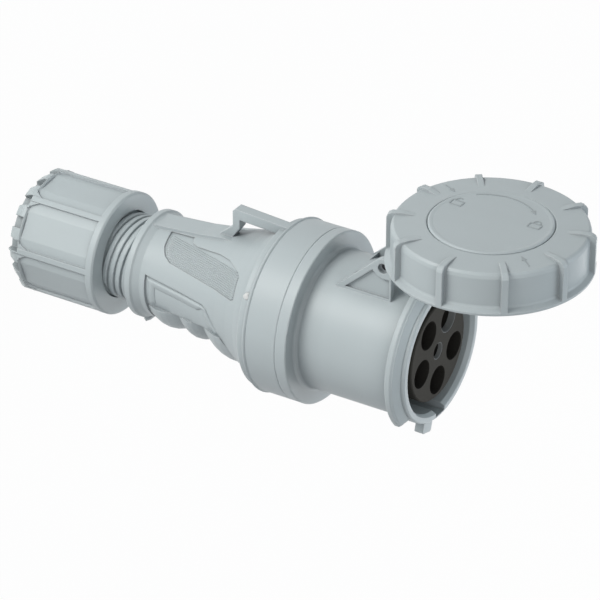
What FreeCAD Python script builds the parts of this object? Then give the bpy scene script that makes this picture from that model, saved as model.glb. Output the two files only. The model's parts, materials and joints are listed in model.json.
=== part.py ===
import FreeCAD, Part
import math
import os
import Sketcher

# Five-pole pin-and-sleeve connector with a hinged bayonet lid, in millimetres.
# It stands on the end face of its gland nut: the origin is the centre of that face, +Z runs along the
# body to the mouth, +Y is the side of the hanging loop and the hinge, and the keyway is on -Y.

# Lengths along the axis, from the nut's end to the mouth.
nut_length = 59.1  # gland nut, end to end
thread_show = 18.0  # thread left uncovered by the nut
rear_flange_thick = 5.0  # ring at the handle's rear end
grip_length = 80.0  # handle from that ring to the collar
shoulder_length = 6.0  # stepped rim behind the collar
collar_length = 19.5  # collar up to the seam
front_collar_length = 6.8  # collar beyond the seam
shroud_length = 59.9  # plain shroud
mouth_flange_thick = 4.1  # flange near the mouth
lip_length = 5.2  # lip beyond the flange

# Radii of the outer shape.
nut_rim_radius = 36.0  # front rim of the nut
thread_radius = 25.0  # crest of the gland thread
root_radius = 23.6  # root of the gland thread
rear_flange_radius = 31.4  # ring at the handle's rear end
waist_radius = 28.8  # narrowest part of the handle
middle_radius = 31.5  # handle at half length
swell_radius = 36.0  # handle where it begins to flare
flare_radius = 45.4  # handle where it meets the rim
rim_radius = 48.4  # stepped rim behind the collar
collar_radius = 49.7  # collar
shroud_radius = 40.0  # shroud
mouth_flange_radius = 46.8  # flange near the mouth
lip_radius = 41.0  # lip at the mouth
mouth_bore = 36.0  # inside of the mouth

# Walls, clearances and small edges.
wall = 3.2  # housing wall
collar_wall = 6.7  # collar wall outside the front housing's spigot
edge = 1.0  # bevel on outer edges
moving_gap = 0.3  # gap between pieces that move past each other
running_gap = 0.05  # radial clearance on the hinge pin
fixed_gap = 0.2  # gap between fixed pieces that slide together

# Gland.
nut_ribs = 7.0  # ribs around the nut
nut_rib_width = 3.4  # width of a nut rib
nut_panel_drop = 1.4  # nut between its ribs, below its rim
nut_end_drop = 3.6  # nut at its rear end, below its rim
nut_flat_drop = 2.3  # flats between the ribs, below the rim
nut_turn = 19.4  # angle of the first rib
nut_band = 9.0  # plain band at the nut's rear, behind the panels
nut_notches = 16.0  # notches around the nut's rear edge
notch_turn = 15.1  # first notch from the first rib
notch_width = 6.6  # width of a notch
notch_depth = 8.0  # notch along the axis
nut_counterbore = 25.6  # counterbore in the nut's front face
nut_hole = 22.0  # hole in the nut's rear end
nut_floor = 8.0  # thickness of the nut's rear end
gland_travel = 16.0  # how far the nut can still be tightened
thrust_thick = 3.0  # thrust ring
seal_radius = 19.7  # outside of the gland seal
cable_bore = 14.0  # hole for the cable in the gland seal
seal_length = 32.0  # gland seal

# Handle details.
strip_width = 14.6  # raised strip on top of the handle
strip_rise = 0.7  # strip above the handle
grip_depth = 0.8  # depth of the side grip panels
panel_angle = 45.0  # middle of a grip panel from the top of the handle
finger_depth = 1.3  # depth of the finger recess
finger_drop = 1.6  # finger recess's middle below the axis
ridge_rise = 3.2  # finger ridge above the valleys beside it
ridge_top = -10.5  # upper end of the finger ridges from the axis
catch_angle = -18.0  # small catch from the bottom
loop_width = 6.4  # hanging loop across the body
loop_bar = 5.6  # thickness of the loop's top bar
loop_height = 52.2  # top of the loop above the axis
loop_drop = 2.4  # fall of the loop's bar towards the collar
loop_leg = 4.4  # thickness of the loop's rear leg
loop_foot = 10.6  # foot of the loop's leg behind its bend
loop_rear = 29.9  # rear leg behind the collar's rim
lock_pin_radius = 1.7  # lock pin
lock_pin_height = 25.4  # lock pin above the axis
lock_pin_depth = 38.0  # inner end of the lock pin beside the axis
lock_pin_length = 4.4  # lock pin

# Mouth, carrier and contacts.
carrier_radius = 29.2  # contact carrier
carrier_depth = 2.3  # carrier face below the lip
gap_depth = 52.0  # ring gap around the carrier
ledge_thick = 6.0  # ring that the carrier's foot seats on
seat_step = 0.6  # step in the bore that the ring seats against
carrier_foot = 6.0  # foot of the carrier
retainer_thick = 4.0  # plate that holds the contacts in
pitch_radius = 18.5  # contacts' circle
contact_count = 5.0  # contacts on the circle
entry_radius = 8.2  # entry holes in the carrier's face
entry_depth = 12.5  # depth of the entry holes
sleeve_radius = 6.0  # outside of a contact sleeve
sleeve_bore = 4.05  # bore of a contact sleeve
bore_depth = 38.0  # depth of that bore
tail_radius = 5.5  # terminal end of a contact
tail_length = 20.0  # terminal end behind the retainer
wire_bore = 3.8  # wire hole in a terminal
pilot_entry = 5.0  # entry hole of the pilot contact
pilot_radius = 4.2  # outside of the pilot sleeve
pilot_bore = 2.55  # bore of the pilot sleeve
spring_thick = 0.7  # spring ring on a sleeve
spring_length = 5.0  # length of a spring ring
key_width = 9.5  # keyway
key_depth = 3.4  # keyway into the wall
key_length = 40.0  # keyway from the lip inward
lug_width = 9.6  # bayonet lug
lug_length = 5.2  # bayonet lug along the axis
lug_top = 47.0  # radius of a lug's top
lug_inset = 1.0  # lug behind the lip's edge
lug_angle = -16.0  # first lug from the bottom
second_lug_angle = 116.0  # second lug from the bottom
flange_gap = 76.0  # opening in the mouth flange at a lug
gap_lead = 6.0  # middle of that opening from the lug
screw_radius = 1.5  # carrier screw
screw_head = 2.8  # carrier screw head
screw_circle = 32.8  # carrier screws' circle
terminal_screw = 2.0  # terminal screw

# Hinge and lid.
hinge_height = 53.75  # hinge above the axis
hinge_setback = 26.25  # hinge behind the mouth
open_angle = 90.0  # lid as shown, from closed
pin_radius = 2.0  # hinge pin
eye_radius = 5.8  # cheek around the hinge pin
ramp_length = 6.5  # ramp between the cheeks' rear ends
cheek_thick = 3.6  # one hinge cheek
knuckle_width = 32.2  # knuckle of the lid between the cheeks
eye_sink = 2.6  # sunk mouth of a cheek's pin hole
panel_sink = 1.5  # recessed panel on a cheek's outer face
arm_width = 12.4  # arm of the lid
arm_thick = 2.3  # arm beside the mouth flange
lid_setback = 16.0  # closed lid's rim behind the mouth
lid_foot_radius = 56.0  # foot of the lid ring
skirt_radius = 53.0  # skirt of the lid ring
skirt_wall = 2.5  # wall of the skirt
lid_height = 23.4  # lid ring from its rim to its top edge
lid_crown = 0.9  # rise of the lid ring's top towards the middle
lid_top_thick = 3.5  # top of the lid ring at its edge
lid_ribs = 10.0  # ribs around the lid ring
lid_rib_width = 3.6  # width of a lid rib
cover_radius = 33.6  # disc in the middle of the lid
cover_stem = 30.6  # stem of that disc in the ring's hole
cover_rise = 0.6  # disc above the ring
cover_rim = 2.0  # thickness of the disc's rim
plate_radius = 46.0  # lid plate under the ring
plate_thick = 2.1  # lid plate
gasket_width = 4.0  # lid gasket
rail_radius = 44.0  # inside of the bayonet rails
rail_thick = 2.4  # bayonet rail
rail_width = 18.0  # bayonet rail around the ring
rail_swing = 30.0  # turn from unlocked to locked

RIDGE_STEPS = 6
PLANES = {"front": "XZ_Plane", "side": "YZ_Plane", "flat": "XY_Plane"}

doc = FreeCAD.newDocument("coupler")
sheet = doc.addObject("Spreadsheet::Sheet", "sizes")


class Size:
    """A length or angle with its formula in the sheet and its present value."""

    def __init__(self, formula, value):
        self.formula = formula
        self.value = value

    def __add__(self, other):
        other = as_size(other)
        return Size("(" + self.formula + " + " + other.formula + ")", self.value + other.value)

    def __radd__(self, other):
        return as_size(other) + self

    def __sub__(self, other):
        other = as_size(other)
        return Size("(" + self.formula + " - " + other.formula + ")", self.value - other.value)

    def __rsub__(self, other):
        return as_size(other) - self

    def __mul__(self, other):
        other = as_size(other)
        return Size("(" + self.formula + " * " + other.formula + ")", self.value * other.value)

    def __rmul__(self, other):
        return as_size(other) * self

    def __truediv__(self, other):
        other = as_size(other)
        return Size("(" + self.formula + " / " + other.formula + ")", self.value / other.value)

    def __neg__(self):
        return Size("(0 - " + self.formula + ")", -self.value)


def as_size(number):
    """Returns a Size for a plain number, or the Size itself."""
    if isinstance(number, Size):
        return number
    return Size("(" + repr(float(number)) + ")", float(number))


def sine(angle):
    """Returns the sine of an angle in degrees."""
    angle = as_size(angle)
    return Size("sin(" + angle.formula + ")", math.sin(math.radians(angle.value)))


def cosine(angle):
    """Returns the cosine of an angle in degrees."""
    angle = as_size(angle)
    return Size("cos(" + angle.formula + ")", math.cos(math.radians(angle.value)))


def turned(outward, aside, angle):
    """Returns a place given by its distance from the axis and aside, turned about Z by an angle."""
    across = as_size(outward) * cosine(angle) - as_size(aside) * sine(angle)
    along = as_size(outward) * sine(angle) + as_size(aside) * cosine(angle)
    return across, along


# Every size above becomes a named cell of the sheet, and from here on its name stands for that cell.
size_names = [name for name, value in list(globals().items()) if isinstance(value, float)]
for row, name in enumerate(size_names, 1):
    sheet.set("A" + str(row), name)
    sheet.set("B" + str(row), repr(globals()[name]))
    sheet.setAlias("B" + str(row), name)
    globals()[name] = Size("sizes." + name, globals()[name])

# Radii of the nut, and stations along the axis.
nut_radius = nut_rim_radius - nut_panel_drop
nut_end_radius = nut_rim_radius - nut_end_drop
nut_flat = nut_rim_radius - nut_flat_drop
flange_rear = nut_length + thread_show
flange_front = flange_rear + rear_flange_thick
handle_end = flange_front + grip_length
collar_rear = handle_end + shoulder_length
seam = collar_rear + collar_length
collar_front = seam + front_collar_length
mouth_flange_rear = collar_front + shroud_length
mouth_flange_front = mouth_flange_rear + mouth_flange_thick
mouth = mouth_flange_front + lip_length
thrust_rear = nut_floor + fixed_gap
thrust_front = thrust_rear + thrust_thick
spigot_rear = thrust_front + gland_travel + moving_gap
spigot_bore = seal_radius + moving_gap
spigot_radius = collar_radius - collar_wall
gap_floor = mouth - gap_depth
ledge_rear = gap_floor - ledge_thick
foot_rear = ledge_rear - carrier_foot
retainer_rear = foot_rear - retainer_thick
carrier_face = mouth - carrier_depth
entry_floor = carrier_face - entry_depth
hinge_station = mouth - hinge_setback
lid_rim = mouth - lid_setback
lid_edge = lid_rim + lid_height
ring_under = lid_edge - lid_top_thick
plate_top = ring_under - fixed_gap
plate_under = plate_top - plate_thick
cover_top = lid_edge + lid_crown + cover_rise


def new_body(name):
    """Starts a body."""
    return doc.addObject("PartDesign::Body", name)


def origin_part(owner, role):
    """Returns the plane or axis of a body's own origin with that role."""
    for feature in owner.Origin.OriginFeatures:
        if feature.Role == role:
            return feature
    raise ValueError("no origin feature " + role)


def draw(owner, name, plane, corners, circles=(), shift=None):
    """Draws closed outlines and circles on an origin plane, every place bound to the sheet.

    Args:
        owner: the body.
        name: sketch name.
        plane: front (X right, Z up), side (Y right, Z up) or flat (X right, Y up).
        corners: one outline as a list of (Size, Size), or an empty list.
        circles: (Size, Size, Size) centre and radius for each circle.
        shift: Size along the plane's normal, or None.
    """
    sketch = owner.newObject("Sketcher::SketchObject", name)
    sketch.AttachmentSupport = [(origin_part(owner, PLANES[plane]), "")]
    sketch.MapMode = "FlatFace"
    if shift is not None:
        sketch.setExpression("AttachmentOffset.Base.z", shift.formula)
    places = [(as_size(across), as_size(along)) for across, along in corners]
    count = len(places)
    for index in range(count):
        here = places[index]
        there = places[(index + 1) % count]
        start = FreeCAD.Vector(here[0].value, here[1].value, 0)
        end = FreeCAD.Vector(there[0].value, there[1].value, 0)
        sketch.addGeometry(Part.LineSegment(start, end), False)
    for index in range(count):
        sketch.addConstraint(Sketcher.Constraint("Coincident", index, 2, (index + 1) % count, 1))
    for index in range(count):
        for word, place in (("DistanceX", places[index][0]), ("DistanceY", places[index][1])):
            number = sketch.addConstraint(Sketcher.Constraint(word, -1, 1, index, 1, place.value))
            sketch.setExpression("Constraints[" + str(number) + "]", place.formula)
    for across, along, radius in circles:
        across, along, radius = as_size(across), as_size(along), as_size(radius)
        centre = FreeCAD.Vector(across.value, along.value, 0)
        ring = sketch.addGeometry(Part.Circle(centre, FreeCAD.Vector(0, 0, 1), radius.value), False)
        number = sketch.addConstraint(Sketcher.Constraint("Radius", ring, radius.value))
        sketch.setExpression("Constraints[" + str(number) + "]", radius.formula)
        for word, place in (("DistanceX", across), ("DistanceY", along)):
            number = sketch.addConstraint(Sketcher.Constraint(word, -1, 1, ring, 3, place.value))
            sketch.setExpression("Constraints[" + str(number) + "]", place.formula)
    return sketch


def turn(owner, name, corners):
    """Adds a full turn of an outline (radius, height) about Z."""
    sketch = draw(owner, name + "_outline", "front", corners)
    solid = owner.newObject("PartDesign::Revolution", name)
    solid.Profile = sketch
    solid.ReferenceAxis = (sketch, ["V_Axis"])
    solid.Angle = 360.0
    sketch.Visibility = False
    return solid


def raise_from(owner, name, plane, length, corners=(), circles=(), shift=None, middle=False, back=False):
    """Adds an outline or circles drawn out along the plane's normal."""
    sketch = draw(owner, name + "_outline", plane, corners, circles, shift)
    solid = owner.newObject("PartDesign::Pad", name)
    solid.Profile = sketch
    solid.setExpression("Length", as_size(length).formula)
    if middle:
        solid.SideType = "Symmetric"
    solid.Reversed = back
    sketch.Visibility = False
    return solid


def cut_from(owner, name, plane, length, corners=(), circles=(), shift=None, middle=False, back=False):
    """Cuts an outline or circles out of the body, against the plane's normal unless back is set."""
    sketch = draw(owner, name + "_outline", plane, corners, circles, shift)
    before = owner.Tip
    hole = owner.newObject("PartDesign::Pocket", name)
    hole.Profile = sketch
    hole.setExpression("Length", as_size(length).formula)
    if middle:
        hole.SideType = "Symmetric"
    hole.Reversed = back
    sketch.Visibility = False
    doc.recompute()
    if not hole.Shape.Volume < before.Shape.Volume - 0.01:
        raise RuntimeError(name + " cuts nothing")
    return hole


def around(owner, name, features, count):
    """Repeats features evenly about Z."""
    pattern = owner.newObject("PartDesign::PolarPattern", name)
    pattern.Originals = features
    pattern.Axis = (origin_part(owner, "Z_Axis"), [""])
    pattern.Angle = 360.0
    owner.Tip = pattern
    pattern.setExpression("Occurrences", as_size(count).formula)
    doc.recompute()
    return pattern


def turned_about_axis(owner, angle):
    """Turns a whole piece about Z."""
    owner.Placement = FreeCAD.Placement(FreeCAD.Vector(), FreeCAD.Rotation(FreeCAD.Vector(0, 0, 1), 1.0))
    owner.setExpression("Placement.Rotation.Angle", as_size(angle).formula)


def swung_open(piece):
    """Swings a piece drawn on the closed lid about the hinge to the open angle."""
    piece.Placement = FreeCAD.Placement(FreeCAD.Vector(), FreeCAD.Rotation(FreeCAD.Vector(-1, 0, 0), 90.0))
    height = hinge_height - hinge_height * cosine(open_angle) - hinge_station * sine(open_angle)
    along = hinge_station + hinge_height * sine(open_angle) - hinge_station * cosine(open_angle)
    piece.setExpression("Placement.Rotation.Angle", open_angle.formula)
    piece.setExpression("Placement.Base.y", height.formula)
    piece.setExpression("Placement.Base.z", along.formula)


pieces = {}


def keep(name, piece):
    """Names a finished piece after its file."""
    piece.Label = name
    pieces[name] = piece


# Gland nut: a ribbed cap with an open rear end.
nut = new_body("nut_body")
thread_clear = thread_radius + moving_gap
turn(nut, "nut_shell", [
    (nut_hole, 0.0),
    (nut_end_radius - edge, 0.0),
    (nut_end_radius, edge),
    (nut_rim_radius - 0.4, nut_band - edge * 3.0),
    (nut_rim_radius - 0.4, nut_band - edge * 0.8),
    (nut_radius, nut_band),
    (nut_radius, nut_length - edge * 5.5),
    (nut_rim_radius, nut_length - edge * 4.5),
    (nut_rim_radius, nut_length - edge),
    (nut_rim_radius - edge, nut_length),
    (nut_counterbore, nut_length),
    (nut_counterbore, nut_length - 3.0),
    (thread_clear, nut_length - 4.0),
    (thread_clear, nut_floor),
    (nut_hole, nut_floor),
])
rib = raise_from(nut, "nut_rib", "front", nut_rib_width, [
    (nut_end_radius - 2.0, edge * 0.5),
    (nut_end_radius + 1.0, edge * 0.5),
    (nut_rim_radius, edge * 4.0),
    (nut_rim_radius, nut_length - edge * 2.0),
    (nut_radius - 2.0, nut_length - edge * 2.0),
    (nut_radius - 2.0, edge * 5.0),
], middle=True)
corner_reach = nut_rib_width * 1.9
rib_corner = raise_from(nut, "nut_rib_corner", "side", 3.0, [
    (-corner_reach, nut_band - edge),
    (corner_reach, nut_band - edge),
    (corner_reach * 0.6, nut_band + corner_reach * 0.2),
    (nut_rib_width / 2.0, nut_band + corner_reach * 0.8),
    (-(nut_rib_width / 2.0), nut_band + corner_reach * 0.8),
    (-(corner_reach * 0.6), nut_band + corner_reach * 0.2),
], shift=nut_rim_radius - 3.5)
around(nut, "nut_rib_ring", [rib, rib_corner], nut_ribs)
flat_turn = as_size(180.0) / nut_ribs
flat = cut_from(nut, "nut_flat", "flat", nut_length - edge * 5.5 - nut_band, [
    turned(nut_flat, nut_radius * 0.4, flat_turn),
    turned(nut_rim_radius + 2.0, nut_radius * 0.4, flat_turn),
    turned(nut_rim_radius + 2.0, -(nut_radius * 0.4), flat_turn),
    turned(nut_flat, -(nut_radius * 0.4), flat_turn),
], shift=nut_length - edge * 5.5)
around(nut, "nut_flat_ring", [flat], nut_ribs)
notch = cut_from(nut, "nut_notch", "flat", notch_depth, [
    turned(nut_end_radius - 3.2, notch_width / 2.0, notch_turn),
    turned(nut_rim_radius + 2.0, notch_width / 2.0, notch_turn),
    turned(nut_rim_radius + 2.0, -(notch_width / 2.0), notch_turn),
    turned(nut_end_radius - 3.2, -(notch_width / 2.0), notch_turn),
], back=True)
around(nut, "nut_notch_ring", [notch], nut_notches)
turned_about_axis(nut, nut_turn)
keep("gland_nut", nut)

thrust = new_body("thrust_body")
turn(thrust, "thrust_shell", [
    (cable_bore + 1.0, thrust_rear),
    (thread_radius - edge, thrust_rear),
    (thread_radius - edge, thrust_front),
    (cable_bore + 1.0, thrust_front),
])
keep("gland_thrust_ring", thrust)

seal = new_body("seal_body")
turn(seal, "seal_shell", [
    (cable_bore, thrust_front),
    (seal_radius, thrust_front),
    (seal_radius, thrust_front + seal_length - 2.0),
    (seal_radius - 2.0, thrust_front + seal_length),
    (cable_bore, thrust_front + seal_length),
])
keep("gland_seal", seal)

# Rear housing: spigot, handle and collar as one turned shell.
handle_line = [
    (waist_radius, flange_front + grip_length * 0.049),
    (waist_radius + 0.3, flange_front + grip_length * 0.1),
    (middle_radius, flange_front + grip_length * 0.394),
    (swell_radius - 2.3, flange_front + grip_length * 0.581),
    (swell_radius, flange_front + grip_length * 0.725),
    (swell_radius + 2.6, flange_front + grip_length * 0.831),
    (swell_radius + 5.6, flange_front + grip_length * 0.919),
    (flare_radius, handle_end),
]
rear = new_body("rear_body")
turn(rear, "rear_shell", [
    (spigot_bore, spigot_rear),
    (thread_radius - edge, spigot_rear),
    (thread_radius, spigot_rear + edge),
    (thread_radius, nut_length - 2.6),
    (root_radius, nut_length - 1.2),
    (root_radius, flange_rear),
    (rear_flange_radius - edge, flange_rear),
    (rear_flange_radius, flange_rear + edge),
    (rear_flange_radius, flange_front - edge),
    (rear_flange_radius - edge, flange_front),
] + handle_line + [
    (rim_radius - edge, handle_end),
    (rim_radius, handle_end + edge),
    (rim_radius, collar_rear - edge * 2.0),
    (collar_radius - 0.6, collar_rear - edge * 1.6),
    (collar_radius, collar_rear),
    (collar_radius, seam - 0.4),
    (collar_radius - 0.4, seam),
    (spigot_radius, seam),
    (spigot_radius, handle_end + 3.0),
    (swell_radius + 1.6 - wall, flange_front + grip_length * 0.93),
    (swell_radius - 3.3 - wall, flange_front + grip_length * 0.735),
    (middle_radius - 1.3 - wall, flange_front + grip_length * 0.4),
    (waist_radius - 0.5 - wall, flange_front + grip_length * 0.06),
    (spigot_bore, flange_front),
])
# Hanging loop: a slanted bar from the collar, with a leg down to the handle.
loop_back = handle_end - loop_rear
raise_from(rear, "loop", "side", loop_width, [
    (middle_radius - 2.0, loop_back - loop_foot),
    (middle_radius + strip_rise, loop_back - loop_foot),
    (loop_height - 11.0, loop_back),
    (loop_height - 1.5, loop_back),
    (loop_height, loop_back + 1.5),
    (loop_height - loop_drop, collar_rear + 1.0),
    (collar_radius - wall, collar_rear + 1.0),
    (collar_radius - wall, collar_rear - 1.0),
    (loop_height - loop_drop - loop_bar, collar_rear - 1.0),
    (loop_height - loop_bar - 0.6, loop_back + loop_leg),
    (loop_height - 11.6, loop_back + loop_leg),
    (middle_radius - 2.0, loop_back - loop_foot + loop_leg * 1.6),
], middle=True)
# Raised strip along the top of the handle.
raise_from(rear, "strip", "side", strip_width, [
    (waist_radius - 1.0, flange_front - 1.0),
    (waist_radius + strip_rise, flange_front - 1.0),
    (middle_radius + strip_rise, flange_front + grip_length * 0.394),
    (swell_radius - 2.3 + strip_rise, flange_front + grip_length * 0.56),
    (swell_radius - 2.0, flange_front + grip_length * 0.65),
    (middle_radius, flange_front + grip_length * 0.65),
    (middle_radius - 2.0, flange_front + grip_length * 0.394),
    (waist_radius - 1.6, flange_front + grip_length * 0.06),
], middle=True)
# Small pointed catch under the rear ring.
catch = new_body("catch_body")
raise_from(catch, "catch", "side", 5.0, [
    (-(waist_radius - 1.5), flange_rear + edge),
    (-(rear_flange_radius + 1.2), flange_rear + edge),
    (-(rear_flange_radius + 2.6), flange_rear + edge * 2.4),
    (-(waist_radius - 1.5), flange_front + 4.0),
], middle=True)
turned_about_axis(catch, catch_angle)

# Finger grip under the handle: a smooth recess on each side below a slanted line, and under it ridges
# that rise in half sines between valleys, on a ring set a little below the axis.
recess_ring = new_body("recess_ring")
turn(recess_ring, "recess_shell", [(radius - finger_depth, along) for radius, along in handle_line] + [
    (flare_radius + 8.0, handle_end),
    (flare_radius + 8.0, flange_front + grip_length * 0.049),
])
valleys = [
    (waist_radius - finger_depth * 1.2, 0.094),
    (waist_radius - finger_depth * 0.8, 0.352),
    (waist_radius + finger_depth * 0.4, 0.56),
    (swell_radius + finger_depth * 1.1, 0.869),
]
ridge_line = []
for (start, start_along), (end, end_along) in zip(valleys, valleys[1:]):
    for step in range(RIDGE_STEPS):
        share = step / RIDGE_STEPS
        lift = ridge_rise * math.sin(math.pi * share)
        along = start_along + (end_along - start_along) * share
        ridge_line.append((start + (end - start) * share + lift, flange_front + grip_length * along))
ridge_line.append((valleys[-1][0], flange_front + grip_length * valleys[-1][1]))
ridge_start = flange_front + grip_length * valleys[0][1]
ridge_end = flange_front + grip_length * valleys[-1][1]
ridge_ring = new_body("ridge_ring")
turn(ridge_ring, "ridge_shell", ridge_line + [
    (waist_radius - wall, ridge_end),
    (waist_radius - wall, ridge_start),
])
ridge_outside = new_body("ridge_outside")
turn(ridge_outside, "ridge_outside_shell", ridge_line + [
    (flare_radius + 8.0, ridge_end),
    (flare_radius + 8.0, ridge_start),
])
for ring in (ridge_ring, ridge_outside):
    ring.setExpression("Placement.Base.y", (-finger_drop).formula)
recess_side = new_body("recess_side")
raise_from(recess_side, "recess_block", "side", collar_radius * 2.2, [
    (waist_radius * 0.32, ridge_start),
    (waist_radius * 0.19, flange_front + grip_length * 0.6125),
    (waist_radius * 0.13, flange_front + grip_length * 0.6525),
    (-(waist_radius * 0.15), flange_front + grip_length * 0.72),
    (ridge_top, flange_front + grip_length * 0.775),
    (ridge_top, ridge_start),
], middle=True)
ridge_side = new_body("ridge_side")
raise_from(ridge_side, "ridge_block", "side", collar_radius * 2.2, [
    (ridge_top, ridge_start),
    (ridge_top, flange_front + grip_length * 0.775),
    (ridge_top * 2.2, ridge_end),
    (-(collar_radius * 1.2), ridge_end),
    (-(collar_radius * 1.2), ridge_start),
], middle=True)
recess_cut = doc.addObject("Part::MultiCommon", "recess_cut")
recess_cut.Shapes = [recess_ring, recess_side]
valley_cut = doc.addObject("Part::MultiCommon", "valley_cut")
valley_cut.Shapes = [ridge_outside, ridge_side]
ridges = doc.addObject("Part::MultiCommon", "ridges")
ridges.Shapes = [ridge_ring, ridge_side]

# Grip panels: a thin layer of the handle's surface inside an outline on each side.
panel_line = [
    (-14.8, 0.156), (-4.9, 0.174), (0.2, 0.211), (3.4, 0.269), (10.6, 0.694), (14.7, 0.869), (14.0, 0.894),
    (1.5, 0.886), (-1.4, 0.856), (-7.0, 0.738), (-9.2, 0.631), (-10.0, 0.425), (-11.6, 0.374), (-15.1, 0.356),
]
grip_ring = new_body("grip_ring")
turn(grip_ring, "grip_shell", [(radius - grip_depth, along) for radius, along in handle_line] + [
    (flare_radius + 8.0, handle_end),
    (flare_radius + 8.0, flange_front + grip_length * 0.049),
])
panel_cuts = []
for hand, name in ((-1.0, "near"), (1.0, "far")):
    panel = new_body("panel_" + name)
    raise_from(panel, "panel_block_" + name, "front", collar_radius * 1.2, [
        (middle_radius * (hand * across / 31.5), flange_front + grip_length * along)
        for across, along in panel_line
    ], back=True)
    turned_about_axis(panel, panel_angle * -hand)
    cut = doc.addObject("Part::MultiCommon", "panel_cut_" + name)
    cut.Shapes = [grip_ring, panel]
    panel_cuts.append(cut)

# Seat of the lock pin, then the recesses taken out of the rear housing.
lock_station = handle_end + shoulder_length * 0.5
cut_from(rear, "lock_seat", "side", collar_radius, circles=[(lock_pin_height, lock_station, lock_pin_radius)],
         shift=-lock_pin_depth)
recesses = doc.addObject("Part::MultiFuse", "recesses")
recesses.Shapes = [recess_cut, valley_cut] + panel_cuts
rear_whole = doc.addObject("Part::MultiFuse", "rear_whole")
rear_whole.Shapes = [rear, catch, ridges]
rear_housing = doc.addObject("Part::Cut", "rear_cut")
rear_housing.Base = rear_whole
rear_housing.Tool = recesses
keep("rear_housing", rear_housing)

lock_pin = new_body("lock_pin_body")
raise_from(lock_pin, "lock_pin_shaft", "side", lock_pin_length,
           circles=[(lock_pin_height, lock_station, lock_pin_radius)], shift=-lock_pin_depth, back=True)
keep("housing_lock_pin", lock_pin)

# Front housing: spigot, collar, shroud and lip as one turned shell, with a step inside for the seat ring.
spigot_outer = spigot_radius - fixed_gap
seat_bore = mouth_bore + seat_step
seal_floor = spigot_radius - 1.8
front = new_body("front_body")
turn(front, "front_shell", [
    (mouth_bore + 2.2, seam - 12.0),
    (spigot_outer, seam - 12.0),
    (spigot_outer, seam - 5.0),
    (seal_floor, seam - 5.0),
    (seal_floor, seam - 2.0),
    (spigot_outer, seam - 2.0),
    (spigot_outer, seam),
    (collar_radius - 0.4, seam),
    (collar_radius, seam + 0.4),
    (collar_radius, collar_front - edge * 0.5),
    (collar_radius - edge * 0.5, collar_front),
    (shroud_radius + 2.0, collar_front),
    (shroud_radius + 0.6, collar_front + 0.6),
    (shroud_radius, collar_front + 2.0),
    (shroud_radius, mouth_flange_rear - edge),
    (lip_radius, mouth_flange_rear),
    (lip_radius, mouth - edge * 0.8),
    (lip_radius - edge * 0.8, mouth),
    (mouth_bore + edge * 1.4, mouth),
    (mouth_bore, mouth - edge * 2.6),
    (mouth_bore, gap_floor),
    (seat_bore, gap_floor),
    (seat_bore, collar_front),
    (mouth_bore + 2.2, seam),
])
cut_from(front, "keyway", "flat", key_length, [
    (-(key_width / 2.0), -(mouth_bore - 2.0)),
    (key_width / 2.0, -(mouth_bore - 2.0)),
    (key_width / 2.0, -(mouth_bore + key_depth)),
    (-(key_width / 2.0), -(mouth_bore + key_depth)),
], shift=mouth)
# Hinge: a ramp across the shroud, and on each side of it a cheek that rises to the eye of the hinge pin.
cheek_inside = knuckle_width / 2.0 + moving_gap
cheek_outside = cheek_inside + cheek_thick
cheek_foot = mouth_bore - 2.8
cheek_start = gap_floor - 4.0
cheek_front = hinge_station + eye_radius * 0.9
ramp_end = cheek_start + ramp_length
raise_from(front, "ramp", "side", cheek_outside * 2.0, [
    (cheek_foot, cheek_start),
    (cheek_foot + 1.2, cheek_start),
    (cheek_foot + 1.2 + ramp_length * 0.785, ramp_end),
    (cheek_foot, ramp_end),
], middle=True)
for name, side, back in (("near", -1.0, True), ("far", 1.0, False)):
    inside = cheek_inside * side
    outside = cheek_outside * side
    raise_from(front, "cheek_" + name, "side", cheek_thick, [
        (cheek_foot, cheek_start),
        (cheek_foot + 1.2, cheek_start),
        (hinge_height + eye_radius * 0.8, hinge_station - eye_radius * 0.6),
        (hinge_height, cheek_front),
        (cheek_foot, cheek_front),
    ], shift=inside, back=back)
    raise_from(front, "eye_" + name, "side", cheek_thick,
               circles=[(hinge_height, hinge_station, eye_radius)], shift=inside, back=back)
    cut_from(front, "cheek_panel_" + name, "side", panel_sink, [
        (cheek_foot + 3.0, cheek_start + 6.5),
        (hinge_height - eye_radius * 0.4, hinge_station - eye_radius * 1.12),
        (hinge_height - eye_radius * 0.9, hinge_station - eye_radius * 0.55),
        (hinge_height - eye_radius * 1.1, hinge_station),
        (hinge_height - eye_radius * 1.05, cheek_front - 1.2),
        (cheek_foot + 2.8, cheek_front - 1.2),
    ], shift=outside, back=back)
    cut_from(front, "eye_sink_" + name, "side", eye_sink,
             circles=[(hinge_height, hinge_station, pin_radius + 1.0)], shift=outside, back=back)
hinge_span = cheek_outside * 2.0
cut_from(front, "hinge_hole", "side", hinge_span + 2.0,
         circles=[(hinge_height, hinge_station, pin_radius)], middle=True)
cut_from(front, "bore_clear", "flat", gap_depth, circles=[(0.0, 0.0, mouth_bore)], shift=mouth)
cut_from(front, "seat_clear", "flat", gap_floor - collar_front,
         circles=[(0.0, 0.0, seat_bore)], shift=gap_floor)

# Flange around the mouth, open beside each bayonet lug so that the lid's rails can pass.
flange = new_body("flange_body")
turn(flange, "flange_ring", [
    (lip_radius - 1.0, mouth_flange_rear),
    (mouth_flange_radius - edge * 0.6, mouth_flange_rear),
    (mouth_flange_radius, mouth_flange_rear + edge * 0.6),
    (mouth_flange_radius, mouth_flange_front - edge * 0.9),
    (mouth_flange_radius - edge * 0.9, mouth_flange_front),
    (lip_radius - 1.0, mouth_flange_front),
])


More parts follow.
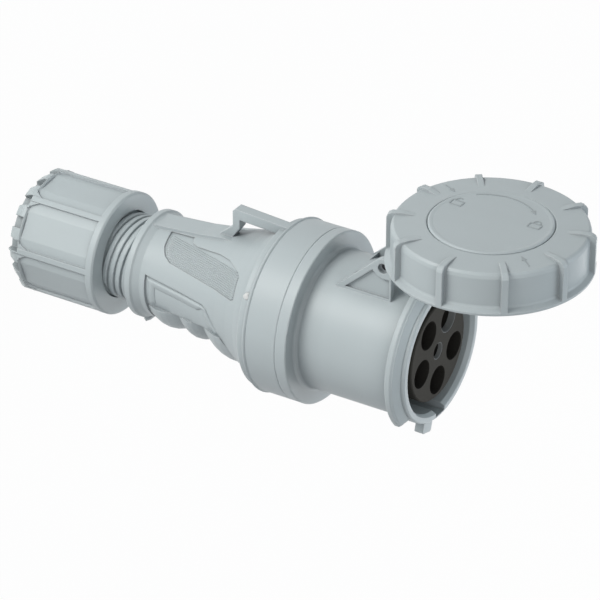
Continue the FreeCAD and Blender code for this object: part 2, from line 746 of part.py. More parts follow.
def flange_opening(name, angle):
    """Returns a wedge that opens the flange around one lug, turned from the bottom by an angle."""
    wedge = new_body(name)
    reach = collar_radius * 1.2
    half = flange_gap / 2.0
    raise_from(wedge, name + "_block", "flat", mouth_flange_thick + 2.0, [
        (0.0, 0.0),
        (-(reach * sine(half)), -(reach * cosine(half))),
        (0.0, -(reach * 1.3)),
        (reach * sine(half), -(reach * cosine(half))),
    ], shift=mouth_flange_rear - 1.0)
    turned_about_axis(wedge, angle + gap_lead)
    return wedge


openings = doc.addObject("Part::MultiFuse", "flange_openings")
openings.Shapes = [
    flange_opening("first_opening", lug_angle),
    flange_opening("second_opening", second_lug_angle),
]
flange_arcs = doc.addObject("Part::Cut", "flange_arcs")
flange_arcs.Base = flange
flange_arcs.Tool = openings


def bayonet_lug(name, angle):
    """Returns a lug that stands on the lip, turned from the bottom by an angle."""
    lug = new_body(name)
    raise_from(lug, name + "_block", "flat", lug_length, [
        (-(lug_width / 2.0), -(lip_radius - 1.0)),
        (lug_width / 2.0, -(lip_radius - 1.0)),
        (lug_width / 2.0, -(lug_top - 0.8)),
        (lug_width / 2.0 - 1.2, -lug_top),
        (-(lug_width / 2.0 - 1.2), -lug_top),
        (-(lug_width / 2.0), -(lug_top - 0.8)),
    ], shift=mouth - lug_inset - lug_length)
    turned_about_axis(lug, angle)
    return lug


front_housing = doc.addObject("Part::MultiFuse", "front_fuse")
front_housing.Shapes = [
    front,
    flange_arcs,
    bayonet_lug("first_lug", lug_angle),
    bayonet_lug("second_lug", second_lug_angle),
]
keep("front_housing", front_housing)

body_seal = new_body("body_seal_body")
turn(body_seal, "body_seal_ring", [
    (seal_floor, seam - 5.0),
    (spigot_radius, seam - 5.0),
    (spigot_radius, seam - 2.0),
    (seal_floor, seam - 2.0),
])
keep("body_seal", body_seal)

# Ring against the step in the bore: it closes the plug gap, and the carrier's foot is screwed to it.
seat_ring = new_body("seat_body")
turn(seat_ring, "seat_block", [
    (carrier_radius + 1.0, ledge_rear),
    (seat_bore - fixed_gap, ledge_rear),
    (seat_bore - fixed_gap, gap_floor),
    (carrier_radius + 1.0, gap_floor),
])
screw_hole = cut_from(seat_ring, "screw_hole", "flat", ledge_thick - 1.0,
                      circles=[(screw_circle, 0.0, screw_radius)], shift=ledge_rear, back=True)
around(seat_ring, "screw_holes", [screw_hole], 3.0)
keep("carrier_seat", seat_ring)

# Contact carrier with its entry holes and sleeves' holes, on a foot plate.
sleeve_hole = sleeve_radius + fixed_gap
shoulder_radius = sleeve_radius + 1.0
carrier = new_body("carrier_body")
turn(carrier, "carrier_block", [
    (0.0, ledge_rear),
    (carrier_radius, ledge_rear),
    (carrier_radius, carrier_face - edge * 0.6),
    (carrier_radius - edge * 0.6, carrier_face),
    (0.0, carrier_face),
])
entry = cut_from(carrier, "entry", "flat", entry_depth,
                 circles=[(0.0, -pitch_radius, entry_radius)], shift=carrier_face)
bore = cut_from(carrier, "sleeve_seat", "flat", entry_floor - ledge_rear,
                circles=[(0.0, -pitch_radius, sleeve_hole)], shift=entry_floor)
around(carrier, "entries", [entry, bore], contact_count)
cut_from(carrier, "pilot_entry_hole", "flat", entry_depth,
         circles=[(0.0, 0.0, pilot_entry)], shift=carrier_face)
cut_from(carrier, "pilot_seat", "flat", entry_floor - ledge_rear,
         circles=[(0.0, 0.0, pilot_radius + fixed_gap)], shift=entry_floor)
keep("contact_carrier", carrier)

foot = new_body("foot_body")
turn(foot, "foot_plate", [
    (0.0, foot_rear),
    (seat_bore - fixed_gap, foot_rear),
    (seat_bore - fixed_gap, ledge_rear),
    (0.0, ledge_rear),
])
shoulder_hole = cut_from(foot, "shoulder_hole", "flat", carrier_foot,
                         circles=[(0.0, -pitch_radius, shoulder_radius + fixed_gap)], shift=ledge_rear)
around(foot, "shoulder_holes", [shoulder_hole], contact_count)
cut_from(foot, "pilot_foot_hole", "flat", carrier_foot,
         circles=[(0.0, 0.0, pilot_radius + fixed_gap)], shift=ledge_rear)
foot_hole = cut_from(foot, "foot_hole", "flat", carrier_foot,
                     circles=[(screw_circle, 0.0, screw_radius + fixed_gap)], shift=ledge_rear)
around(foot, "foot_holes", [foot_hole], 3.0)
keep("carrier_foot", foot)

retainer = new_body("retainer_body")
turn(retainer, "retainer_plate", [
    (0.0, retainer_rear),
    (mouth_bore - fixed_gap, retainer_rear),
    (mouth_bore - fixed_gap, foot_rear),
    (0.0, foot_rear),
])
tail_hole = cut_from(retainer, "tail_hole", "flat", retainer_thick,
                     circles=[(0.0, -pitch_radius, tail_radius + fixed_gap)], shift=foot_rear)
around(retainer, "tail_holes", [tail_hole], contact_count)
cut_from(retainer, "pilot_tail_hole", "flat", retainer_thick,
         circles=[(0.0, 0.0, pilot_radius - 1.0 + fixed_gap)], shift=foot_rear)
plate_hole = cut_from(retainer, "plate_hole", "flat", retainer_thick,
                      circles=[(screw_circle, 0.0, screw_radius + fixed_gap)], shift=foot_rear)
around(retainer, "plate_holes", [plate_hole], 3.0)
keep("contact_retainer", retainer)

carrier_screws = new_body("carrier_screws_body")
turn_screw = raise_from(carrier_screws, "screw_head_disc", "flat", 2.2,
                        circles=[(screw_circle, 0.0, screw_head)], shift=retainer_rear, back=True)
shank = raise_from(carrier_screws, "screw_shank", "flat", ledge_rear + ledge_thick - 1.5 - retainer_rear,
                   circles=[(screw_circle, 0.0, screw_radius)], shift=retainer_rear)
carrier_screws.AllowCompound = True
around(carrier_screws, "screw_set", [turn_screw, shank], 3.0)
keep("carrier_screws", carrier_screws)


def seated_on_circle(piece, angle):
    """Moves a piece drawn on the axis to the contacts' circle, turned to face outward."""
    piece.Placement = FreeCAD.Placement(FreeCAD.Vector(), FreeCAD.Rotation(FreeCAD.Vector(0, 0, 1), 1.0))
    piece.setExpression("Placement.Rotation.Angle", angle.formula)
    piece.setExpression("Placement.Base.x", (pitch_radius * sine(angle)).formula)
    piece.setExpression("Placement.Base.y", (-(pitch_radius * cosine(angle))).formula)


sleeve_top = entry_floor - 1.0
spring_top = sleeve_top - 4.0
spring_floor = sleeve_radius - spring_thick
tail_rear = retainer_rear - tail_length
screw_station = tail_rear + tail_length * 0.35
spring_rings = []
screw_bodies = []
contact_names = (
    "contact_earth",
    "contact_phase_one",
    "contact_phase_two",
    "contact_phase_three",
    "contact_neutral",
)
for place, contact_name in enumerate(contact_names):
    angle = as_size(360.0) / contact_count * float(place)
    contact = new_body(contact_name + "_body")
    turn(contact, contact_name + "_sleeve", [
        (0.0, tail_rear + tail_length * 0.75),
        (wire_bore, tail_rear + tail_length * 0.75),
        (wire_bore, tail_rear),
        (tail_radius, tail_rear),
        (tail_radius, foot_rear),
        (shoulder_radius, foot_rear),
        (shoulder_radius, ledge_rear),
        (sleeve_radius, ledge_rear),
        (sleeve_radius, spring_top - spring_length),
        (spring_floor, spring_top - spring_length),
        (spring_floor, spring_top),
        (sleeve_radius, spring_top),
        (sleeve_radius, sleeve_top),
        (sleeve_bore, sleeve_top),
        (sleeve_bore, sleeve_top - bore_depth),
        (0.0, sleeve_top - bore_depth),
    ])
    cut_from(contact, contact_name + "_tapping", "front", tail_radius + 1.0,
             circles=[(0.0, screw_station, terminal_screw)], back=True)
    seated_on_circle(contact, angle)
    keep(contact_name, contact)
    spring = new_body("spring_" + str(place))
    turn(spring, "spring_ring_" + str(place), [
        (spring_floor, spring_top - spring_length),
        (sleeve_radius, spring_top - spring_length),
        (sleeve_radius, spring_top),
        (spring_floor, spring_top),
    ])
    seated_on_circle(spring, angle)
    spring_rings.append(spring)
    screw = new_body("terminal_screw_" + str(place))
    raise_from(screw, "terminal_shaft_" + str(place), "front", tail_radius + 1.6 - wire_bore + 1.5,
               circles=[(0.0, screw_station, terminal_screw)], shift=wire_bore - 1.5)
    seated_on_circle(screw, angle)
    screw_bodies.append(screw)

pilot = new_body("pilot_body")
turn(pilot, "pilot_sleeve", [
    (0.0, tail_rear + 4.0),
    (pilot_radius - 1.0, tail_rear + 4.0),
    (pilot_radius - 1.0, foot_rear),
    (pilot_radius, foot_rear),
    (pilot_radius, sleeve_top),
    (pilot_bore, sleeve_top),
    (pilot_bore, sleeve_top - bore_depth * 0.7),
    (0.0, sleeve_top - bore_depth * 0.7),
])
keep("contact_pilot", pilot)

springs = doc.addObject("Part::Compound", "spring_set")
springs.Links = spring_rings
keep("contact_springs", springs)
screws = doc.addObject("Part::Compound", "terminal_set")
screws.Links = screw_bodies
keep("terminal_screws", screws)

hinge_pin = new_body("hinge_pin_body")
raise_from(hinge_pin, "hinge_shaft", "side", hinge_span - eye_sink * 2.0,
           circles=[(hinge_height, hinge_station, pin_radius)], middle=True)
keep("hinge_pin", hinge_pin)

# Lid plate with its arm, drawn closed over the mouth.
arm_outside = skirt_radius - skirt_wall - 0.9
arm_inside = arm_outside - arm_thick
plate = new_body("plate_body")
turn(plate, "plate_disc", [
    (0.0, plate_under),
    (plate_radius, plate_under),
    (plate_radius, plate_top),
    (0.0, plate_top),
])
raise_from(plate, "arm", "side", arm_width, [
    (plate_radius - 2.0, plate_under),
    (arm_inside, plate_under),
    (arm_inside, hinge_station + 2.6),
    (hinge_height - 3.4, hinge_station - 3.0),
    (hinge_height + 3.6, hinge_station + 2.6),
    (arm_outside, lid_rim - 1.6),
    (arm_outside, plate_top - 2.0),
    (arm_outside - 2.0, plate_top),
    (plate_radius - 2.0, plate_top),
], middle=True)
raise_from(plate, "knuckle", "side", knuckle_width,
           circles=[(hinge_height, hinge_station, eye_radius - 1.1)], middle=True)
cut_from(plate, "knuckle_hole", "side", knuckle_width + 2.0,
         circles=[(hinge_height, hinge_station, pin_radius + running_gap)], middle=True)
swung_open(plate)
keep("lid_plate", plate)

# Middle disc of the lid: its rim lies over the ring, and its stem joins it to the plate.
stem_hole = cover_stem + moving_gap
rim_hole = cover_radius + moving_gap
rim_floor = cover_top - cover_rim
cover = new_body("cover_body")
turn(cover, "cover_disc", [
    (0.0, plate_top),
    (cover_stem, plate_top),
    (cover_stem, rim_floor),
    (cover_radius, rim_floor),
    (cover_radius, cover_top - edge * 0.5),
    (cover_radius - edge * 0.7, cover_top),
    (0.0, cover_top),
])
swung_open(cover)
keep("lid_cover", cover)

gasket_middle = (mouth_bore + lip_radius) / 2.0
gasket = new_body("gasket_body")
turn(gasket, "gasket_ring", [
    (gasket_middle - gasket_width / 2.0, mouth + fixed_gap),
    (gasket_middle + gasket_width / 2.0, mouth + fixed_gap),
    (gasket_middle + gasket_width / 2.0, plate_under),
    (gasket_middle - gasket_width / 2.0, plate_under),
])
swung_open(gasket)
keep("lid_gasket", gasket)

# Bayonet ring of the lid: foot, skirt, crowned top and outside ribs.
skirt_inner = skirt_radius - skirt_wall
ring = new_body("ring_body")
turn(ring, "ring_shell", [
    (skirt_inner, lid_rim),
    (lid_foot_radius - 0.5, lid_rim),
    (lid_foot_radius, lid_rim + 0.6),
    (lid_foot_radius, lid_rim + 1.8),
    (skirt_radius + 0.5, lid_rim + 3.6),
    (skirt_radius, lid_rim + 4.6),
    (skirt_radius, lid_edge - 3.0),
    (skirt_radius - 0.5, lid_edge - 1.2),
    (skirt_radius - 1.6, lid_edge),
    (rim_hole + 0.5, lid_edge + lid_crown),
    (rim_hole, lid_edge + lid_crown - 0.5),
    (rim_hole, rim_floor - fixed_gap),
    (stem_hole, rim_floor - fixed_gap),
    (stem_hole, ring_under),
    (skirt_inner - 1.5, ring_under),
    (skirt_inner, ring_under - 1.5),
])
lid_rib = raise_from(ring, "lid_rib", "front", lid_rib_width, [
    (skirt_radius - 2.0, lid_rim + 0.6),
    (lid_foot_radius, lid_rim + 0.6),
    (lid_foot_radius, lid_edge - 1.8),
    (lid_foot_radius - 0.8, lid_edge - 0.2),
    (lid_foot_radius - 2.6, lid_edge + 0.9),
    (skirt_radius - 5.0, lid_edge + 1.3),
    (rim_hole + 6.0, lid_edge + lid_crown * 0.6),
    (rim_hole + 6.0, lid_edge - 1.0),
    (skirt_radius - 2.0, lid_edge - 2.0),
], middle=True)
around(ring, "lid_rib_ring", [lid_rib], lid_ribs)


def bayonet_rail(name, angle):
    """Returns a rail inside the skirt, turned from the bottom by an angle."""
    rail = new_body(name)
    raise_from(rail, name + "_block", "flat", rail_thick, [
        (-(rail_width / 2.0), -rail_radius),
        (rail_width / 2.0, -rail_radius),
        (rail_width / 2.0, -(skirt_inner + 0.8)),
        (-(rail_width / 2.0), -(skirt_inner + 0.8)),
    ], shift=mouth - lug_inset - lug_length - fixed_gap * 2.0 - rail_thick)
    turned_about_axis(rail, angle)
    return rail


lid_ring = doc.addObject("Part::MultiFuse", "ring_fuse")
lid_ring.Shapes = [
    ring,
    bayonet_rail("first_rail", lug_angle + rail_swing),
    bayonet_rail("second_rail", second_lug_angle + rail_swing),
]
swung_open(lid_ring)
keep("lid_ring", lid_ring)

doc.recompute()
os.makedirs("parts", exist_ok=True)
for name, piece in pieces.items():
    if "Invalid" in piece.State or "Error" in piece.State:
        raise RuntimeError(name + " has state " + str(piece.State))
    if piece.Shape.isNull() or not piece.Shape.isValid():
        raise RuntimeError(name + " has no valid shape")
    piece.Shape.exportStep("parts/" + name + ".step")
    print(name, "solids", len(piece.Shape.Solids), "volume", round(piece.Shape.Volume, 1))
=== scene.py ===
"""Looks of a five-pole pin-and-sleeve coupler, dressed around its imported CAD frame."""
import json
import logging
import math
from abc import ABC, abstractmethod
from dataclasses import dataclass
from enum import Enum
from typing import ClassVar, Dict, List, Mapping, Protocol, Sequence, Tuple, Union

import bmesh
import bpy
import numpy as np
from mathutils import Matrix, Vector


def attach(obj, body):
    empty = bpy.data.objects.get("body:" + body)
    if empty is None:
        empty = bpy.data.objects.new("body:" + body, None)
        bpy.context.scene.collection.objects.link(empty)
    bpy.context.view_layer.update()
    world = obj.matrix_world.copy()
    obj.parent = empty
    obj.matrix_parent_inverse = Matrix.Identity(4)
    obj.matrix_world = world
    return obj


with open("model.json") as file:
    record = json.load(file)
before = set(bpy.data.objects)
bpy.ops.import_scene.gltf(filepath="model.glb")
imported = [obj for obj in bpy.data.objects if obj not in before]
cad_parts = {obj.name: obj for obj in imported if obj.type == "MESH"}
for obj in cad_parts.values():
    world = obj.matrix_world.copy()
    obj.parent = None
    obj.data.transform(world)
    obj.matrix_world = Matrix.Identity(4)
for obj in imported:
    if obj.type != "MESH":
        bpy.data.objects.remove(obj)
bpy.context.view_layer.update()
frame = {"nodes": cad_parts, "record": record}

LOG = logging.getLogger("coupler")
MM = 0.001
FULL_TURN = 2.0 * math.pi
Array = np.ndarray
Material = bpy.types.Material
Piece = bpy.types.Object
Pieces = List[Piece]
Pair = Tuple[float, float]
Triple = Tuple[float, float, float]
Table = Tuple[Pair, ...]
Key = Union[int, str]
WHITE: Triple = (1.0, 1.0, 1.0)


class Signal:
    """A shader socket that Python's operators work on; each operator adds one Math node."""

    def __init__(self, graph: "Graph", socket: bpy.types.NodeSocket) -> None:
        """Keeps the graph and the socket."""
        self.graph = graph
        self.socket = socket

    def _math(self, operation: str, first: "Operand", second: "Operand") -> "Signal":
        """Adds a Math node on two operands."""
        return self.graph.node("ShaderNodeMath", {"operation": operation}, {0: first, 1: second})

    def __add__(self, other: "Operand") -> "Signal":
        """Sum."""
        return self._math("ADD", self, other)

    __radd__ = __add__

    def __sub__(self, other: "Operand") -> "Signal":
        """Difference."""
        return self._math("SUBTRACT", self, other)

    def __rsub__(self, other: "Operand") -> "Signal":
        """Difference from a number."""
        return self._math("SUBTRACT", other, self)

    def __mul__(self, other: "Operand") -> "Signal":
        """Product."""
        return self._math("MULTIPLY", self, other)

    def clamped(self) -> "Signal":
        """The value held between 0 and 1."""
        return self.graph.node("ShaderNodeClamp", {}, {"Value": self})


Operand = Union[Signal, float]
SocketValue = Union[Signal, float, Sequence[float]]


class Graph:
    """A node tree that expressions add to; the Mix node's sockets for colours go by place."""

    MIX_SHARE, MIX_FIRST, MIX_SECOND, MIX_RESULT = 0, 6, 7, 2
    SEEN_RAYS = ("Is Camera Ray", "Is Glossy Ray", "Is Transmission Ray")

    def __init__(self, tree: bpy.types.NodeTree) -> None:
        """Empties the tree."""
        self.tree = tree
        tree.nodes.clear()

    def node(self, kind: str, settings: Mapping[str, object],
             sockets: Mapping[Key, SocketValue], out: Key = 0) -> Signal:
        """Adds a node.

        Args:
            kind: the node's type.
            settings: properties, set before its sockets.
            sockets: numbers, colours or links for its inputs, by name or place.
            out: the output that is returned.

        Returns:
            The chosen output.
        """
        node = self.tree.nodes.new(kind)
        for name, value in settings.items():
            setattr(node, name, value)
        for key, value in sockets.items():
            if isinstance(value, Signal):
                self.tree.links.new(value.socket, node.inputs[key])
            else:
                node.inputs[key].default_value = value
        return Signal(self, node.outputs[out])

    def mix(self, share: Operand, first: SocketValue, second: SocketValue) -> Signal:
        """Mixes two colours by a share."""
        return self.node("ShaderNodeMix", {"data_type": "RGBA"},
                         {self.MIX_SHARE: share, self.MIX_FIRST: first, self.MIX_SECOND: second},
                         self.MIX_RESULT)

    def noise(self, place: Signal, look: Pair) -> Signal:
        """Grey noise of a scale, with features about 1/scale metres across, and a detail."""
        return self.node("ShaderNodeTexNoise", {},
                         {"Vector": place, "Scale": look[0], "Detail": look[1]})

    def seen(self) -> Signal:
        """1 for camera, glossy and transmission rays, 0 for those that carry light."""
        camera, glossy, clear = (self.node("ShaderNodeLightPath", {}, {}, ray)
                                 for ray in self.SEEN_RAYS)
        return (camera + glossy + clear).clamped()

    def output(self, kind: str, surface: Signal) -> None:
        """Links a surface to a new output node."""
        end = self.tree.nodes.new(kind)
        self.tree.links.new(surface.socket, end.inputs["Surface"])


class Shader(Graph):
    """A material's node tree with the helpers that the finishes share."""

    SAMPLES = 6

    def __init__(self, name: str) -> None:
        """Starts an empty material."""
        self.material = bpy.data.materials.new(name)
        self.material.use_nodes = True
        super().__init__(self.material.node_tree)
        self.place = self.node("ShaderNodeTexCoord", {}, {}, "Object")

    def stretched(self, scale: Sequence[float]) -> Signal:
        """Object coordinates scaled along each axis."""
        return self.node("ShaderNodeMapping", {}, {"Vector": self.place, "Scale": scale})

    def rounded(self, radius: float) -> Signal:
        """Normals rounded over sharp edges by a radius in metres."""
        return self.node("ShaderNodeBevel", {"samples": self.SAMPLES}, {"Radius": radius}, "Normal")

    def edges(self, rounded: Signal, gain: float) -> Signal:
        """How far rounded normals lean from the surface's own, times a gain, from 0 to 1."""
        own = self.node("ShaderNodeNewGeometry", {}, {}, "Normal")
        lean = self.node("ShaderNodeVectorMath", {"operation": "DOT_PRODUCT"},
                         {0: rounded, 1: own}, "Value")
        return ((1.0 - lean) * gain).clamped()

    def recesses(self, reach: float) -> Signal:
        """How far the surface is closed in by its own piece within a reach in metres."""
        sky = self.node("ShaderNodeAmbientOcclusion",
                        {"samples": self.SAMPLES, "only_local": True}, {"Distance": reach}, "AO")
        return (1.0 - sky).clamped()

    def bump(self, height: Signal, strength: float, distance: float, normal: Signal) -> Signal:
        """Relief of a height over given normals, distance in metres."""
        sockets = {"Height": height, "Strength": strength, "Distance": distance, "Normal": normal}
        return self.node("ShaderNodeBump", {}, sockets, "Normal")

    def show(self, surface: Signal) -> Material:
        """Links a surface to the material's output and returns the material."""
        self.output("ShaderNodeOutputMaterial", surface)
        return self.material

    def finish(self, sockets: Mapping[Key, SocketValue]) -> Material:
        """Shows a principled surface with these sockets."""
        return self.show(self.node("ShaderNodeBsdfPrincipled", {}, sockets))


def rgba(colour: Sequence[float], gain: float = 1.0) -> Tuple[float, float, float, float]:
    """A colour, times a gain, with full alpha."""
    return (colour[0] * gain, colour[1] * gain, colour[2] * gain, 1.0)


class Slot(Enum):
    """Material slots of the record."""

    HOUSING = "housing"
    INNER_PLASTIC = "inner_plastic"
    CARRIER = "carrier"
    SEAL_RUBBER = "seal_rubber"
    WHITE_PIN = "white_pin"
    STEEL = "steel"
    CONTACT_BRASS = "contact_brass"


class Finish(Protocol):
    """Anything that makes a material."""

    def build(self, name: str) -> Material:
        """Makes the material under a name."""


@dataclass(frozen=True)
class MouldedPlastic:
    """Moulded plastic: a fine eroded grain, faint flow clouds, edges painted paler as rubbed wear
    and as painted highlight, and painted shade in recesses.

    Attributes:
        colour: base colour.
        cloud: how much slow clouds change the brightness.
        rub_and_highlight: how much edges brighten, as rubbed wear and as painted highlight.
        roughness: middle roughness.
        grain: relief of the mould's grain in metres.
        soften: radius that rounds the edges in metres.
        fleck: brightness of glass-fibre flecks.
        sheen: level of the surface's reflection.
        recess_shade: how much painted shade darkens the recesses.
    """

    # Each noise is a scale and a detail.
    CLOUD: ClassVar[Pair] = (26.0, 3.0)
    CLOUD_WEIGHT: ClassVar[float] = 0.6
    FLOW: ClassVar[Pair] = (1.0, 4.0)
    FLOW_SCALES: ClassVar[Triple] = (90.0, 90.0, 14.0)
    GRAIN: ClassVar[Pair] = (3200.0, 3.0)
    GRAIN_STRENGTH: ClassVar[float] = 0.35
    EDGE_GAIN: ClassVar[float] = 5.0
    # Pale colour of the edges: rubbed wear and painted highlight.
    RUBBED_AND_HIGHLIGHT: ClassVar[Triple] = (0.93, 0.95, 0.96)
    # Reach and colour shares of the painted shade in recesses.
    RECESS_SHADE_REACH: ClassVar[float] = 0.018
    RECESS_SHADE_SHARES: ClassVar[Triple] = (0.2, 0.193, 0.216)
    FLECK_SCALE: ClassVar[float] = 900.0
    FLECK_FALL: ClassVar[float] = 4.5
    FLECK_COLOUR: ClassVar[Triple] = (0.55, 0.53, 0.5)
    ROUGH_DROP: ClassVar[float] = 0.05
    ROUGH_SPREAD: ClassVar[float] = 0.06
    REFRACTION: ClassVar[float] = 1.49

    colour: Triple
    cloud: float = 0.05
    rub_and_highlight: float = 0.3
    roughness: float = 0.42
    grain: float = 0.00003
    soften: float = 0.0009
    fleck: float = 0.0
    sheen: float = 0.5
    recess_shade: float = 0.0

    def tint(self, s: Shader, slow: Signal, rounded: Signal) -> Signal:
        """Mixes clouds, edges painted paler (rubbed wear and painted highlight), painted shade in
        recesses and flecks into the base colour.

        Args:
            s: the material's tree.
            slow: noise of the slow clouds.
            rounded: normals rounded over the edges.

        Returns:
            The colour.
        """
        flow = s.noise(s.stretched(self.FLOW_SCALES), self.FLOW)
        clouds = (slow * self.CLOUD_WEIGHT + flow * (1.0 - self.CLOUD_WEIGHT)).clamped()
        dark, pale = rgba(self.colour, 1.0 - self.cloud), rgba(self.colour, 1.0 + self.cloud)
        tint = s.mix(clouds, dark, pale)
        # Edges painted paler: part rubbed wear, part painted highlight.
        tint = s.mix(s.edges(rounded, self.EDGE_GAIN) * self.rub_and_highlight, tint, rgba(self.RUBBED_AND_HIGHLIGHT))
        # Painted shade: recesses that the piece closes in on itself are darkened in the base
        # colour.
        if self.recess_shade:
            shade = np.multiply(self.colour, self.RECESS_SHADE_SHARES).tolist()
            tint = s.mix(s.recesses(self.RECESS_SHADE_REACH) * self.recess_shade, tint, rgba(shade))
        if self.fleck:
            spots = s.node("ShaderNodeTexVoronoi", {"feature": "F1"},
                           {"Vector": s.place, "Scale": self.FLECK_SCALE}, "Distance")
            share = (1.0 - spots * self.FLECK_FALL).clamped() * self.fleck
            tint = s.mix(share, tint, rgba(self.FLECK_COLOUR))
        return tint

    def build(self, name: str) -> Material:
        """Roughness follows the clouds and the grain, which is bumped on rounded edges."""
        s = Shader(name)
        slow = s.noise(s.place, self.CLOUD)
        fine = s.noise(s.place, self.GRAIN)
        rounded = s.rounded(self.soften)
        rough = self.roughness - self.ROUGH_DROP + slow * self.ROUGH_SPREAD
        return s.finish({
            "Base Color": self.tint(s, slow, rounded),
            "Roughness": rough + fine * self.ROUGH_SPREAD,
            "Normal": s.bump(fine, self.GRAIN_STRENGTH, self.grain, rounded),
            "IOR": self.REFRACTION,
            "Specular IOR Level": self.sheen,
        })


@dataclass(frozen=True)
class MattRubber:
    """Moulded rubber: near black, dusty in patches, with a soft pitted skin.

    Attributes:
        colour, dust: colours of the rubber and of the dust.
        roughness: middle roughness.
        pit: depth of the pits in metres.
        soften: radius that rounds the edges in metres.
    """

    DUST: ClassVar[Pair] = (140.0, 5.0)
    DUST_FLOOR: ClassVar[float] = 0.35
    DUST_SHARE: ClassVar[float] = 0.5
    PITS: ClassVar[Pair] = (2200.0, 2.0)
    PIT_STRENGTH: ClassVar[float] = 0.4
    ROUGH_DROP: ClassVar[float] = 0.08
    ROUGH_SPREAD: ClassVar[float] = 0.16

    colour: Triple
    dust: Triple = (0.16, 0.16, 0.16)
    roughness: float = 0.72
    pit: float = 0.00005
    soften: float = 0.0004

    def build(self, name: str) -> Material:
        """Dust clouds lift the colour and the roughness; fine pits are bumped."""
        s = Shader(name)
        dust = s.noise(s.place, self.DUST)
        pits = s.noise(s.place, self.PITS)
        share = (dust - self.DUST_FLOOR).clamped() * self.DUST_SHARE
        return s.finish({
            "Base Color": s.mix(share, rgba(self.colour), rgba(self.dust)),
            "Roughness": self.roughness - self.ROUGH_DROP + dust * self.ROUGH_SPREAD,
            "Normal": s.bump(pits, self.PIT_STRENGTH, self.pit, s.rounded(self.soften)),
        })


class Grainwise(Enum):
    """Direction of the tool marks on metal, as scales of the object's axes."""

    TURNED = (40.0, 40.0, 5200.0)
    DRAWN = (60.0, 5200.0, 5200.0)


@dataclass(frozen=True)
class ToolMarkedMetal:
    """Bare metal with fine tool marks and slight tarnish.

    Attributes:
        colour, tarnish: colours of the metal and of the tarnish.
        marks: direction of the tool marks.
        roughness: middle roughness.
        relief: depth of the marks in metres.
        soften: radius that rounds the edges in metres.
    """

    MARKS: ClassVar[Pair] = (1.0, 3.0)
    MARK_STRENGTH: ClassVar[float] = 0.25
    TARNISH: ClassVar[Pair] = (210.0, 4.0)
    TARNISH_GAIN: ClassVar[float] = 1.6
    TARNISH_FLOOR: ClassVar[float] = 0.5
    ROUGH_DROP: ClassVar[float] = 0.08
    ROUGH_MARKS: ClassVar[float] = 0.12
    ROUGH_TARNISH: ClassVar[float] = 0.06

    colour: Triple
    tarnish: Triple
    marks: Grainwise
    roughness: float
    relief: float = 0.00002
    soften: float = 0.0003

    def build(self, name: str) -> Material:
        """Tool marks change the roughness and the relief; slow clouds mix in the tarnish."""
        s = Shader(name)
        lines = s.noise(s.stretched(self.marks.value), self.MARKS)
        cloud = s.noise(s.place, self.TARNISH)
        share = (cloud * self.TARNISH_GAIN - self.TARNISH_FLOOR).clamped()
        rough = self.roughness - self.ROUGH_DROP + lines * self.ROUGH_MARKS
        return s.finish({
            "Base Color": s.mix(share, rgba(self.colour), rgba(self.tarnish)),
            "Metallic": 1.0,
            "Roughness": rough + cloud * self.ROUGH_TARNISH,
            "Normal": s.bump(lines, self.MARK_STRENGTH, self.relief, s.rounded(self.soften)),
        })


# Signs are a darker grey than the housing: painted shade standing in for the shade of their narrow
# sides.
SIGN_SHADE_FINISH = MouldedPlastic(colour=(0.37, 0.41, 0.42), rub_and_highlight=0.05, soften=0.0001)
# The housing and the carrier paint shade into their recesses and holes.
FINISHES: Dict[Slot, Finish] = {
    Slot.HOUSING: MouldedPlastic(colour=(0.5, 0.555, 0.566), recess_shade=0.72),
    Slot.INNER_PLASTIC: MouldedPlastic(colour=(0.25, 0.258, 0.258), rub_and_highlight=0.0, roughness=0.6,
                                       soften=0.0003, sheen=0.25),
    Slot.CARRIER: MouldedPlastic(colour=(0.054, 0.051, 0.045), recess_shade=0.95, roughness=0.66,
                                 rub_and_highlight=0.02, soften=0.0004, fleck=0.05, sheen=0.06),
    Slot.SEAL_RUBBER: MattRubber(colour=(0.022, 0.022, 0.024)),
    Slot.WHITE_PIN: MouldedPlastic(colour=(0.84, 0.84, 0.82), cloud=0.03, roughness=0.36),
    # Steel near black: blackened metal, and painted shade so the hinge's eye reads dark without
    # bright reflections.
    Slot.STEEL: ToolMarkedMetal(colour=(0.06, 0.06, 0.065), tarnish=(0.035, 0.034, 0.033),
                                marks=Grainwise.DRAWN, roughness=0.4),
    Slot.CONTACT_BRASS: ToolMarkedMetal(colour=(0.42, 0.32, 0.17), tarnish=(0.2, 0.14, 0.08),
                                        marks=Grainwise.TURNED, roughness=0.3),
}


class Wardrobe:
    """Builds each finish once and dresses nodes and pieces with it."""

    def __init__(self, finishes: Mapping[Slot, Finish]) -> None:
        """Builds the materials."""
        self.materials = {slot: finish.build("finish_" + slot.value)
                          for slot, finish in finishes.items()}
        self.sign = SIGN_SHADE_FINISH.build("finish_sign_painted_shade")

    def dress_node(self, node: Piece, slot: Slot) -> None:
        """Puts a finish on a CAD node."""
        node.data.materials.clear()
        node.data.materials.append(self.materials[slot])

    def dress_sign(self, piece: Piece, body: str) -> None:
        """Dresses a moulded sign with the sign finish, whose darker grey is painted shade for the
        sign's narrow sides.
        """
        self.seat(piece, self.sign, Slot.HOUSING, body)

    def dress_piece(self, piece: Piece, slot: Slot, body: str) -> None:
        """Dresses a new piece with its slot's finish."""
        self.seat(piece, self.materials[slot], slot, body)

    def seat(self, piece: Piece, material: Material, slot: Slot,
             body: str) -> None:
        """Puts a material on a new piece and makes it ride on a body."""
        piece.data.materials.append(material)
        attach(piece, body)
        LOG.info("%s rides on %s, %d faces", piece.name, body, len(piece.data.polygons))


def full_turn(steps: int) -> Array:
    """Angles of even steps once round, shaped (1, steps, 1)."""
    return np.linspace(0.0, FULL_TURN, steps, endpoint=False)[None, :, None]


